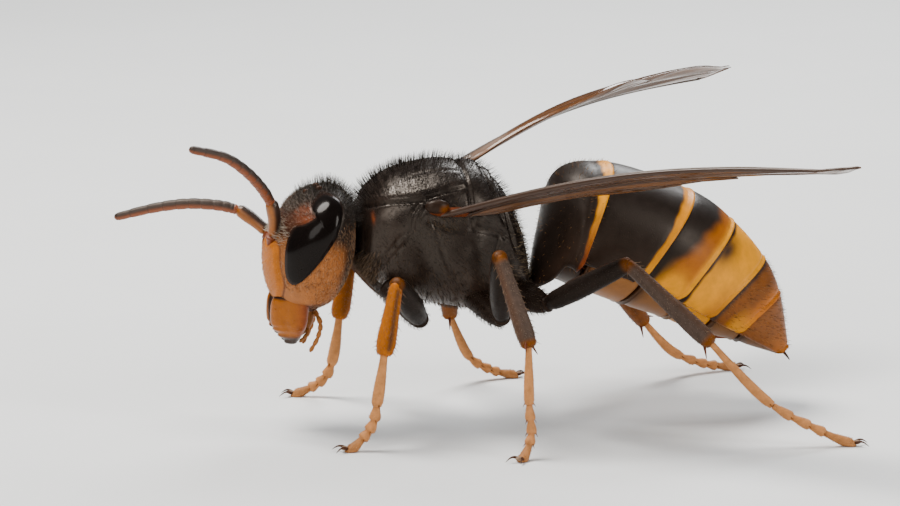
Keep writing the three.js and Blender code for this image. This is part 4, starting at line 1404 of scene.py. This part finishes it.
def upper_leg(root, hip, knee, radii, inward, look):
    """The coxa, a short ring after it, and the thigh, swollen before its middle."""
    coxa_r, hip_r, thigh_r, knee_r = radii
    coxa, _ = leg_limb(
        [root, (root + hip) / 2 + np.array([0, 0, 0.03]), hip],
        [[0, coxa_r], [0.6, coxa_r * 0.94], [0.9, hip_r * 1.15], [1, hip_r]], 36,
    )
    start = hip + unit(knee - hip) * 0.28
    ring, _ = leg_limb([hip, start], [[0, hip_r * 0.85], [0.5, hip_r], [1, hip_r * 0.8]], 12)
    thigh, share = leg_limb(
        [start, knee],
        [
            [0, hip_r * 0.85], [0.12, hip_r * 1.08], [0.4, thigh_r], [0.8, thigh_r * 0.86],
            [1, knee_r],
        ],
        60, 32,
    )
    orange, brown = np.array(look.face_orange), np.array(look.shell_brown)
    knee_red = ease(0.9, 1.0, shares_of(thigh, share))[:, None] * np.ones(32)
    tone = blend(np.array(look.shell_black) + 0 * thigh.points, orange * 0.22, knee_red)
    # The faces turned to the body are paler on all the legs.
    tone = blend(tone, orange * 0.35, 0.6 * ease(-0.1, 0.6, thigh.normals() @ inward))
    return coxa.tint(brown * 0.35, 0.45), ring.tint(brown * 0.45, 0.42), thigh.tint(tone, 0.46)


def lower_leg(kind, begin, ankle, calf, inward, look):
    """The shin: narrow at the knee and widest near its end, with a paler upper face and ends."""
    shin, share = leg_limb([begin, ankle], calf, 60, 32)
    rows = shares_of(shin, share)
    outer = [0.4, 0, 1] if kind == "hind" else [-1, 0, 0.2]
    facing = shin.normals() @ unit(np.array(outer))
    orange = np.array(look.face_orange)
    if kind == "fore":
        tone = orange * 0.9 + 0 * shin.points
        tone = blend(tone, np.array(look.shell_brown), bell(facing, -0.2, 0.35) * 0.85)
    else:
        tone = np.array(look.shin_brown) + 0 * shin.points
        tone = blend(tone, orange * 0.4, 0.18 * ease(0.2, 0.9, facing))
    ends = clamp01(ease(0.12, 0.0, rows) + ease(0.9, 1.0, rows))[:, None] * np.ones(32)
    tone = blend(tone, orange * (0.9 if kind == "fore" else 0.35), ends)
    tone = blend(tone, orange * 0.6, 0.6 * ease(-0.1, 0.6, shin.normals() @ inward))
    return shin.tint(tone, 0.5)


def foot_parts(line, foot_r, toe_r, coat, look):
    """Five pieces along a line, each narrow at its root and flared at its end, with two thorns at
    the end of all but the last where it is clear of the floor."""
    orange, tarsal = np.array(look.face_orange), np.array(look.tarsus_orange)
    run = np.append(0, np.cumsum(np.linalg.norm(np.diff(line, axis=0), axis=1)))
    run = run / run[-1]
    parts = []
    for k, (low, high) in enumerate(zip(FOOT_SHARES, FOOT_SHARES[1:])):
        long, last = k in (0, 4), k == 4
        wide = foot_r + (toe_r - foot_r) * k / 5
        t = np.linspace(0, 1, 40 if long else 18)
        at = low + (high - low) * (0.02 + 0.96 * t)
        path = np.stack([np.interp(at, run, line[:, j]) for j in range(3)], -1)
        bulge = 0.62 + 0.36 * ease(0.0, 0.8, t) - 0.2 * ease(0.92, 1.0, t)
        piece = tube(path, wide * bulge, 22, ref=(0, 0, 1), caps=(0.05, 0.06))
        piece.points[..., 2] = np.maximum(piece.points[..., 2], FOOT_CLEAR)
        parts.append(piece.tint(tarsal * (0.8 if last else 1.0), 0.45).part())
        coat.add(
            piece, 260 if long else 100, piece.points[..., 2] > 0.05, 0.09, 0.006, 0.35,
            unit(path[-1] - path[0]), mixed((0.3, 0.15, 0.06), (0.6, 0.4, 0.2), 0.4, 0.3),
            (0, 0.8 + 0.04 * k, 1, 0.84 + 0.04 * k),
        )
        if last:
            break
        for sign in (-1, 1):
            across = unit(np.cross(unit(path[-1] - path[-2]), [0, 0, 1.0]))
            tip_way = unit(path[-1] - path[-4]) + across * sign * 0.8 - [0, 0, 0.3]
            thorn_at = path[-2] + across * sign * wide * 0.75
            if thorn_at[2] > THORN_CLEAR:
                parts.append(spike(thorn_at, tip_way, 0.24, 0.035, orange * 0.4, 6))
    return parts


def claw_pair(end, ahead):
    """Two arched claws that spread from the end of a foot."""
    claws = []
    for sign in (-1, 1):
        across = np.array([-ahead[1], ahead[0], 0]) * sign
        at = end + across * 0.12 + ahead * 0.02
        t = np.linspace(0, 1, 14)[:, None]
        arch = np.array([0, 0, 1]) * (0.14 * np.sin(np.pi * t) - 0.1 * t)
        path = at + ahead * CLAW_REACH * t + across * CLAW_SPREAD * t + arch
        claw = tube(path, CLAW_RADIUS * (1 - 0.88 * t[:, 0]), 12, caps=(0.03, 0.01))
        claw.points[..., 2] = np.maximum(claw.points[..., 2], CLAW_CLEAR)
        claws.append(claw.tint(CLAW_TONE, 0.3).part())
    return claws


class HORNET_OT_legs(bpy.types.Operator):
    """Six legs, each from its hip to the two claws, with their short hair"""

    bl_idname = "hornet.legs"
    bl_label = "Legs"

    def execute(self, context):
        look = context.scene.hornet
        for order, (name, points) in enumerate(LEGS.items()):
            side, kind = name.split("_")
            root, hip, knee, ankle, first, fourth, toe = (np.array(p) for p in points)
            *upper_radii, shin_r, foot_r, toe_r = LEG_RADII[kind]
            knee_r = upper_radii[-1]
            inward = np.array([0.0, -SIDES[side], 0.0])
            coxa, ring, thigh = upper_leg(root, hip, knee, upper_radii, inward, look)
            far = unit(ankle - knee)
            begin = knee + far * knee_r * 0.25
            calf = [
                [0, knee_r * 0.78], [0.1, knee_r * 0.9], [0.3, knee_r * 0.98], [0.8, shin_r],
                [1, shin_r * 0.85],
            ]
            shin = lower_leg(kind, begin, ankle, calf, inward, look)
            parts = [coxa.part(), ring.part(), thigh.part(), shin.part()]
            coat = Coat(61 + order)
            coat.add(
                shin, 1100, 1.0, 0.11, 0.008, 0.3, far,
                mixed((0.06, 0.04, 0.026), (0.32, 0.22, 0.14), 0.4, 0.4), (0, 0, 1, 0.3),
            )
            coat.add(
                thigh, 1000, 1.0, 0.12, 0.008, 0.3, unit(knee - hip),
                mixed((0.012, 0.009, 0.007), (0.06, 0.04, 0.026), 0.3, 0.3), (0, 0.3, 1, 0.6),
            )
            coat.add(
                coxa, 600, 1.0, 0.24, 0.011, 0.5, unit(hip - root),
                mixed((0.02, 0.013, 0.009), (0.1, 0.065, 0.04), 0.4), (0, 0.6, 1, 0.8),
            )
            if kind != "fore":
                aside = unit(np.cross(far, unit(first - ankle)))
                for sign in (-1, 1):
                    at = ankle - 0.15 * far + aside * sign * shin_r * 0.5
                    lean = far + aside * sign * SPUR_LEAN
                    parts.append(spike(at, lean, SPUR_LENGTH, 0.1, np.array(SPUR_TONE), 12))
            # The foot ends flat on the floor, a little beyond the toe.
            flat = np.array([toe[0] * 2 - fourth[0], toe[1] * 2 - fourth[1], toe[2]])
            end = toe + unit(flat - toe) * 0.3
            line = smooth_line([ankle, first, fourth, toe, end], 200)
            parts += foot_parts(line, foot_r, toe_r, coat, look)
            ahead = unit((end - fourth) * [1, 1, 0])
            pad_at = end + ahead * 0.12 + np.array([0, 0, 0.02])
            pad = bead(pad_at, 0.15, (0.25, 0.16, 0.1), 0.7, (1.2, 1, 0.7))
            pad.verts[:, 2] = np.maximum(pad.verts[:, 2], PAD_CLEAR)
            parts.append(pad)
            back = np.array(SHIN_BACK[kind])
            parts += row_of_bristles([begin, ankle], calf, 16, 0.3, back, order * 7 + 1)
            parts += row_of_bristles([begin, ankle], calf, 12, 0.24, -back, order * 7 + 2)
            make_object(
                f"leg_{name}_skin", parts, material("limb"),
                [f"coxa_{name}", f"femur_{name}", f"tibia_{name}", f"tarsus_{name}"],
            )
            make_object(
                f"claws_{name}", claw_pair(end, ahead), material("limb")
            )
            coat.finish(f"coat_leg_{name}")
        return {"FINISHED"}


# Wings


def wing_frame(name):
    """The wing's root, length and its three axes: along, across and the way up."""
    root, tip, chord, bow = WINGS[name]
    root, along = np.array(root), np.array(tip) - root
    length = np.linalg.norm(along)
    along = unit(along)
    across = np.array(chord)
    across = unit(across - (across @ along) * along)
    normal = unit(np.cross(across, along))
    if normal[2] < 0:
        normal = -normal
    return root, length, along, across, normal, bow


def vein_field(t, v, veins, width):
    """How strongly each point of the blade lies on a vein: the highest of the veins' bells."""
    best = np.zeros(np.broadcast(t, v).shape)
    for t0, t1, v0, v1, v2, strength in veins:
        s = clamp01((t - t0) / (t1 - t0))
        place = (1 - s) ** 2 * v0 + 2 * s * (1 - s) * v1 + s**2 * v2
        live = ease(t0 - 0.012, t0, t) * ease(t1 + 0.012, t1, t)
        best = np.maximum(best, strength * live * bell(v, place, width))
    return best


def wing_blade(name, hind, look):
    """A thin blade pleated lengthwise, with a thick front edge, raised veins and rounded tip."""
    root, length, along, across, normal, bow = wing_frame(name)
    rows, cols = 170, 72
    t = np.linspace(0, 1, rows)[:, None]
    v = np.linspace(0, 1, cols)[None, :]
    if hind:
        share, drop = HINDWING_SHARE, HINDWING_DROP
        wide = value_at(HINDWING, t[:, 0])[:, None]
        offset = value_at(FOREWING, t[:, 0] * share)[:, None] - HINDWING_TUCK * ease(0.0, 0.25, t)
        veins = [
            (0.0, 0.75, 0.1, 0.12, 0.1, 1.0), (0.0, 0.7, 0.35, 0.45, 0.4, 0.9),
            (0.3, 0.9, 0.4, 0.55, 0.85, 0.7), (0.0, 0.55, 0.6, 0.75, 0.9, 0.6),
        ]
    else:
        share, drop, offset = 1.0, 0.0, 0.0
        wide = value_at(FOREWING, t[:, 0])[:, None]
        veins = [
            (0.0, 0.62, 0.15, 0.2, 0.12, 1.0), (0.0, 0.55, 0.5, 0.55, 0.5, 1.0),
            (0.02, 0.6, 0.85, 0.9, 0.82, 0.8), (0.1, 0.88, 0.3, 0.35, 0.15, 0.9),
            (0.36, 0.92, 0.42, 0.5, 0.72, 0.7), (0.5, 0.86, 0.62, 0.75, 0.93, 0.6),
            (0.55, 0.95, 0.25, 0.3, 0.45, 0.7),
        ]
    # The blade narrows to a rounded tip and to a narrow root.
    tip = np.sqrt(clamp01(1 - ease(0.93, 1.0, t) * 0.92))
    narrow = tip * np.sqrt(clamp01(0.35 + 0.65 * ease(0.0, 0.06, t)))
    front = 0.5 * wide * (1 - narrow) * ease(0.5, 1, t)
    line = vein_field(t, v, veins, 0.028)
    edge = ease(0.055, 0.0, v)
    pleat = 0.11 * np.sin(v * 2 * np.pi * 2.5 + 0.6) * ease(0.0, 0.15, t) * ease(1.0, 0.7, t)
    flutter = 0.05 * np.sin(t * 14 + v * 3) * v
    shape = bow * np.sin(np.pi * np.minimum(t * share * 1.1, 1)) - drop
    middle = (
        root
        + along * (length * share * t)[..., None]
        + normal * (shape + pleat + flutter)[..., None]
        + across * (offset + front + wide * narrow * v)[..., None]
    )
    sheet = Surface(middle, wrap=False)
    thick = 0.02 + look.vein_height / MM * line + (0.1 - 0.05 * t) * edge * (0.6 if hind else 1.0)
    clear = np.array(look.wing_brown)
    dark = np.array(look.wing_vein)
    # Amber and dark streaks run along the pleats, and the film is darker near the root.
    streak = 0.5 + 0.5 * np.sin(v * 2 * np.pi * 3.5 + 1.2 * np.sin(t * 5) + (0.8 if hind else 0))
    tone = blend(clear + 0 * middle, clear * 0.35, 0.7 * streak)
    tone = blend(tone, dark, clamp01(line * 1.1 + edge))
    shade = 0.25 if hind else 0.75
    tone = blend(tone, dark, shade * ease(0.6, 0.25, t) * ease(0.9, 0.75, v))
    near_root = ease(0.35, 0.12, t * (0.6 if hind else 1.0)) * np.ones(v.shape)
    shine = 0.12 + 0.28 * clamp01(line + edge + near_root)
    return slab(middle, sheet.normals(), thick, tone, shine)


class HORNET_OT_wings(bpy.types.Operator):
    """Four wings, each fore one folded lengthwise over a hind one"""

    bl_idname = "hornet.wings"
    bl_label = "Wings"

    def execute(self, context):
        look = context.scene.hornet
        dark = np.array(look.wing_vein)
        for name in SIDES:
            root, length, along, across, normal, bow = wing_frame(name)
            parts = [wing_blade(name, False, look)]
            t = np.linspace(-0.02, 0.9, 120)
            spine_line = (
                root
                + (length * t)[:, None] * along
                + (bow * np.sin(np.pi * np.clip(t * 1.1, 0, 1)))[:, None] * normal
                + 0.05 * across
            )
            bundle = tube(spine_line, 0.16 - 0.085 * ease(0.0, 1.0, t), 18, caps=(0.12, 0.06))
            parts.append(bundle.tint(dark, 0.4).part())
            make_object(
                f"forewing_{name}_skin", parts, material("wing"),
                [f"forewing_{name}"],
            )
            make_object(
                f"hindwing_{name}_skin", [wing_blade(name, True, look)], material("wing"),
                [f"hindwing_{name}"],
            )
        return {"FINISHED"}


# Coat


class HORNET_OT_coat_head(bpy.types.Operator):
    """Hair of the head: black and upright on the crown, short and pale on the face and cheeks"""

    bl_idname = "hornet.coat_head"
    bl_label = "Head coat"

    def execute(self, context):
        skin = head_surface()
        x, y, z = np.moveaxis(skin.points, -1, 0)
        eye = eye_depth_at(x, z)
        off_eye = clamp01(ease(0.0, 0.06, eye) + ease(1.4, 1.0, np.abs(y)))
        flat = np.stack([y, z], -1)
        shield = inside(flat, clypeus_edge()) & (x < -7.3)
        crown = off_eye * clamp01(ease(10.9, 11.3, z) + ease(9.8, 10.6, z) * ease(-5.9, -5.4, x))
        coat = Coat(11)
        coat.add(
            skin, 4500, crown, 0.1, 0.011, 0.4, (0.4, 0, 0.4),
            mixed((0.008, 0.006, 0.005), (0.16, 0.14, 0.12), 0.3),
        )
        coat.add(
            skin, 1100, crown, 0.42 + 0.12 * ease(-7.2, -6.2, x), 0.008, 0.85, (0.1, 0, 0.6),
            mixed((0.010, 0.008, 0.007), (0.03, 0.022, 0.016), 0.4),
        )
        coat.finish("coat_crown")
        face = off_eye * ~shield * ease(-6.9, -7.3, x) * ease(6.8, 7.4, z) * ease(11.6, 11.2, z)
        coat = Coat(12)
        coat.add(
            skin, 2500, face, 0.12, 0.010, 0.4, (-0.2, 0, -0.6),
            mixed((0.08, 0.04, 0.02), (0.5, 0.38, 0.28), 0.3, 0.4),
        )
        brow = off_eye * ease(-6.6, -7.1, x) * ease(10.3, 10.7, z)
        coat.add(
            skin, 1300, brow, 0.18, 0.008, 0.7, (-0.5, 0, 0.5),
            mixed((0.035, 0.026, 0.02), (0.38, 0.32, 0.26), 0.3),
        )
        coat.add(
            skin, 800, shield * ease(9.4, 8.8, z), 0.09, 0.009, 0.4, (0, 0, -1),
            mixed((0.5, 0.2, 0.04), (0.7, 0.4, 0.15), 0.5, 0.4),
        )
        tuft = ~shield * ease(-8.1, -8.5, x) * ease(9.1, 9.4, z) * ease(10.6, 10.1, z)
        coat.add(
            skin, 400, tuft, 0.3, 0.009, 0.8, (-0.5, 0, 0.2),
            mixed((0.4, 0.3, 0.2), (0.7, 0.6, 0.48), 0.7),
        )
        coat.finish("coat_face")
        cheek = off_eye * ease(-7.3, -6.9, x) * ease(10.6, 9.6, z) * (np.abs(y) > 0.6)
        coat = Coat(13)
        coat.add(
            skin, 4500, cheek, 0.14, 0.011, 0.3, (-0.35, 0, -0.8),
            mixed((0.10, 0.035, 0.01), (0.62, 0.38, 0.22), 0.55, 0.3),
        )
        coat.finish("coat_cheeks")
        return {"FINISHED"}


class HORNET_OT_coat_thorax(bpy.types.Operator):
    """Hair of the thorax: a dark upright pile on the back, short hair on the sides and a brown
    fringe below"""

    bl_idname = "hornet.coat_thorax"
    bl_label = "Thorax coat"

    def execute(self, context):
        skin = thorax_surface()
        x, y, z = np.moveaxis(skin.points, -1, 0)
        up = skin.normals()[..., 2]
        top = ease(0.15, 0.6, up)
        below = ease(-0.1, -0.5, up)
        dark, warm = (0.007, 0.0055, 0.005), (0.05, 0.034, 0.024)
        for number, half in enumerate((x < -1.6, x >= -1.6)):
            coat = Coat(21 + number)
            coat.add(
                skin, 5000, top * half, 0.12, 0.010, 0.18, (1.0, 0, 0.0), mixed(dark, warm, 0.5),
            )
            coat.add(
                skin, 1300, top * half, 0.48 + 0.1 * ease(-3.0, -4.2, x), 0.008, 0.8, (1.0, 0, 0.2),
                mixed(dark, (0.03, 0.021, 0.015), 0.4),
            )
            coat.finish(f"coat_back_{number + 1}")
        for number, (name, side) in enumerate(SIDES.items()):
            coat = Coat(31 + number)
            flank = (1 - top) * (1 - below) * (y * side > 0)
            coat.add(
                skin, 3800, flank, 0.1, 0.009, 0.15, (0.8, 0, -0.45), mixed(dark, warm, 0.4),
            )
            coat.add(
                skin, 500, flank, 0.28, 0.009, 0.6, (0.8, 0, -0.2), mixed(dark, warm, 0.5),
            )
            rear = flank * ease(2.3, 2.8, x)
            coat.add(
                skin, 400, rear, 0.32, 0.009, 0.5, (0.8, 0, 0.2),
                mixed(warm, (0.3, 0.22, 0.13), 0.5),
            )
            root = bell(np.hypot(x + 0.9, z - 10.3), 0, 0.7) * (y * side > 0)
            coat.add(
                skin, 300, root, 0.26, 0.008, 0.6, (0.5, 0, -0.6),
                mixed(warm, (0.16, 0.1, 0.05), 0.5),
            )
            coat.finish(f"coat_flank_{name}")
        coat = Coat(41)
        coat.add(
            skin, 3000, below, 0.26, 0.013, 0.5, (0.5, 0, -0.5),
            mixed((0.015, 0.010, 0.007), (0.08, 0.05, 0.03), 0.5),
        )
        front = ease(-3.6, -4.1, x) * ease(9.0, 8.2, z)
        coat.add(
            skin, 1500, front, 0.4, 0.013, 0.7, (-0.3, 0, -0.6),
            mixed((0.04, 0.024, 0.014), (0.2, 0.13, 0.08), 0.5),
        )
        coat.finish("coat_breast")
        return {"FINISHED"}


class HORNET_OT_coat_gaster(bpy.types.Operator):
    """Hair of the gaster: very short, lying back and taking each band's colour, with a few longer
    hairs at both ends"""

    bl_idname = "hornet.coat_gaster"
    bl_label = "Gaster coat"

    def execute(self, context):
        look = context.scene.hornet
        start = 0.0
        counts = [6500, 6500, 5000, 4500, 3500, 2800]
        for index, end in enumerate(TERGITE_ENDS):
            skin = plate_skin(index, start, end, look)
            rows = skin.points.shape[0]
            along = np.linspace(0, 1, rows)[:, None]
            bare = ease(0.02, 0.08, along) if index else ease(0.0, 0.15, along)
            coat = Coat(51 + index)
            longer = 0.05 * (index == 0) + 0.06 * (index > 3)
            coat.add(
                skin, counts[index], bare, 0.11 + longer, 0.009, 0.18, (0.8, 0, -0.4),
                mixed((0.010, 0.007, 0.005), (0.12, 0.05, 0.01), 0.2 * (index > 1), 0.9),
            )
            if index in (0, 4, 5):
                coat.add(
                    skin, 700, bare, 0.3, 0.009, 0.65, (0.8, 0, -0.2),
                    mixed((0.03, 0.014, 0.005), (0.3, 0.14, 0.04), 0.4),
                )
            coat.finish(f"coat_segment_{index + 1}")
            start = float(end)
        return {"FINISHED"}


# Stage


def area_light(name, place, aim, size, power, colour=(1, 1, 1), size_y=None):
    """A soft oval lamp at a place, in millimetres, turned to an aim."""
    lamp = bpy.data.lights.new(name, "AREA")
    lamp.energy = power
    lamp.color = colour
    lamp.shape = "ELLIPSE"
    lamp.size = size * MM
    lamp.size_y = (size_y or size) * MM
    held = bpy.data.objects.new(name, lamp)
    held.location = [float(v) * MM for v in place]
    way = Vector([float(b - a) for a, b in zip(place, aim)])
    held.rotation_euler = way.to_track_quat("-Z", "Y").to_euler()
    bpy.context.scene.collection.objects.link(held)


class HORNET_OT_stage(bpy.types.Operator):
    """Floor, lamps, sky and the camera"""

    bl_idname = "hornet.stage"
    bl_label = "Stage"

    def execute(self, context):
        look = context.scene.hornet
        half = FLOOR_HALF * MM
        mesh = bpy.data.meshes.new("floor")
        mesh.from_pydata(
            [(-half, -half, 0), (half, -half, 0), (half, half, 0), (-half, half, 0)],
            [], [(0, 1, 2, 3)],
        )
        mesh.materials.append(floor_material(tuple(look.floor_grey)))
        floor = bpy.data.objects.new("floor", mesh)
        context.scene.collection.objects.link(floor)
        world = bpy.data.worlds.new("soft_sky")
        world.use_nodes = True
        sky = world.node_tree.nodes["Background"]
        sky.inputs["Color"].default_value = (0.9, 0.95, 1.0, 1.0)
        sky.inputs["Strength"].default_value = look.sky_strength
        context.scene.world = world
        aim = VIEW_TARGET + SHIFT
        area_light("key", aim + [-55, 45, 185], aim, 100, look.key_power, (1.0, 0.98, 0.95))
        area_light("side", aim + [170, -150, 90], aim, 60, look.key_power * 0.5, size_y=180)
        area_light("front", aim + [-150, -170, 110], aim, 150, look.key_power * 0.42)
        area_light("back", aim + [90, 150, 130], aim, 90, look.key_power * 0.45, (0.95, 0.98, 1.0))
        camera = bpy.data.cameras.new("camera")
        camera.sensor_width = SENSOR
        camera.lens = PIXELS_PER_MM * VIEW_DISTANCE / FRAME_WIDTH * SENSOR
        camera.clip_start = 0.01
        camera.clip_end = 20.0
        camera.dof.use_dof = False
        turn, rise = VIEW_TURN, VIEW_RISE
        back = np.array([np.sin(turn) * np.cos(rise), -np.cos(turn) * np.cos(rise), np.sin(rise)])
        held = bpy.data.objects.new("camera", camera)
        held.location = [float(v) * MM for v in aim + VIEW_DISTANCE * back]
        held.rotation_euler = Vector([float(-v) for v in back]).to_track_quat("-Z", "Y").to_euler()
        context.scene.collection.objects.link(held)
        context.scene.camera = held
        return {"FINISHED"}


# Add-on


def colour_property(name, description, default):
    return bpy.props.FloatVectorProperty(
        name=name, description=description, subtype="COLOR", size=3, min=0.0, max=1.0,
        default=default,
    )


class HornetLook(bpy.types.PropertyGroup):
    """The colours, coat and light a user would change"""

    shell_black: colour_property(
        "Black", "Darkest shell: thorax, back plates", (0.010, 0.0062, 0.0046)
    )
    shell_brown: colour_property(
        "Brown", "Dark brown shell of hips and belly", (0.035, 0.018, 0.011)
    )
    face_orange: colour_property(
        "Face", "Orange of the face, jaws and leg ends", (0.38, 0.102, 0.0015)
    )
    band_yellow: colour_property("Band", "Yellow of the bands on the gaster", (0.64, 0.245, 0.0))
    red_brown: colour_property("Red brown", "Feeler roots, knees, tail", (0.188, 0.038, 0.007))
    eye_brown: colour_property("Eye", "Compound eyes", (0.004, 0.0026, 0.0022))
    feeler_dark: colour_property("Feeler dark", "Upper side of the feelers", (0.022, 0.012, 0.009))
    feeler_rust: colour_property("Feeler rust", "Under side of the feelers", (0.17, 0.038, 0.009))
    tarsus_orange: colour_property("Foot", "Feet", (0.46, 0.19, 0.062))
    shin_brown: colour_property("Shin", "Middle and hind shins", (0.062, 0.04, 0.03))
    wing_brown: colour_property("Wing", "Wing film", (0.135, 0.05, 0.014))
    wing_vein: colour_property("Vein", "Wing veins and front edge", (0.028, 0.010, 0.004))
    floor_grey: colour_property("Floor", "The board it stands on", (0.74, 0.74, 0.73))
    eye_height: bpy.props.FloatProperty(
        name="Eye height", description="How far the eyes stand out of the head", default=0.16 * MM,
        min=0.05 * MM, max=0.4 * MM, subtype="DISTANCE", unit="LENGTH",
    )
    vein_height: bpy.props.FloatProperty(
        name="Vein height", description="How far the wing veins stand out of the film",
        default=0.045 * MM, min=0.0, max=0.1 * MM, subtype="DISTANCE", unit="LENGTH",
    )
    coat_length: bpy.props.FloatProperty(
        name="Coat length", description="Length of the tufts beside their usual one", default=1.0,
        min=0.1, max=3.0, subtype="FACTOR",
    )
    coat_density: bpy.props.FloatProperty(
        name="Coat density", description="Number of tufts beside the usual one", default=1.0,
        min=0.02, max=1.2, subtype="FACTOR",
    )
    sky_strength: bpy.props.FloatProperty(
        name="Sky", description="Strength of the light from all round", default=0.16, min=0.0,
        max=5.0, subtype="FACTOR",
    )
    key_power: bpy.props.FloatProperty(
        name="Key", description="Power of the main lamp", default=0.75, min=0.0, max=50.0,
        subtype="POWER", unit="POWER",
    )


class HORNET_PT_panel(bpy.types.Panel):
    """Lists the colours and the pieces"""

    bl_label = "Hornet"
    bl_idname = "HORNET_PT_panel"
    bl_space_type = "VIEW_3D"
    bl_region_type = "UI"
    bl_category = "Hornet"

    def draw(self, context):
        column = self.layout.column()
        for key in HornetLook.__annotations__:
            column.prop(context.scene.hornet, key)
        column.separator()
        for operator in OPERATORS:
            column.operator(operator.bl_idname)


OPERATORS = (
    HORNET_OT_head,
    HORNET_OT_eyes,
    HORNET_OT_mouth,
    HORNET_OT_feelers,
    HORNET_OT_thorax,
    HORNET_OT_gaster,
    HORNET_OT_legs,
    HORNET_OT_wings,
    HORNET_OT_coat_head,
    HORNET_OT_coat_thorax,
    HORNET_OT_coat_gaster,
    HORNET_OT_stage,
)
CLASSES = (HornetLook, *OPERATORS, HORNET_PT_panel)


def register():
    for item in CLASSES:
        bpy.utils.register_class(item)
    bpy.types.Scene.hornet = bpy.props.PointerProperty(type=HornetLook)


def unregister():
    del bpy.types.Scene.hornet
    for item in reversed(CLASSES):
        bpy.utils.unregister_class(item)


def main():
    register()
    for operator in OPERATORS:
        family, action = operator.bl_idname.split(".")
        getattr(getattr(bpy.ops, family), action)()


if __name__ == "__main__":
    main()
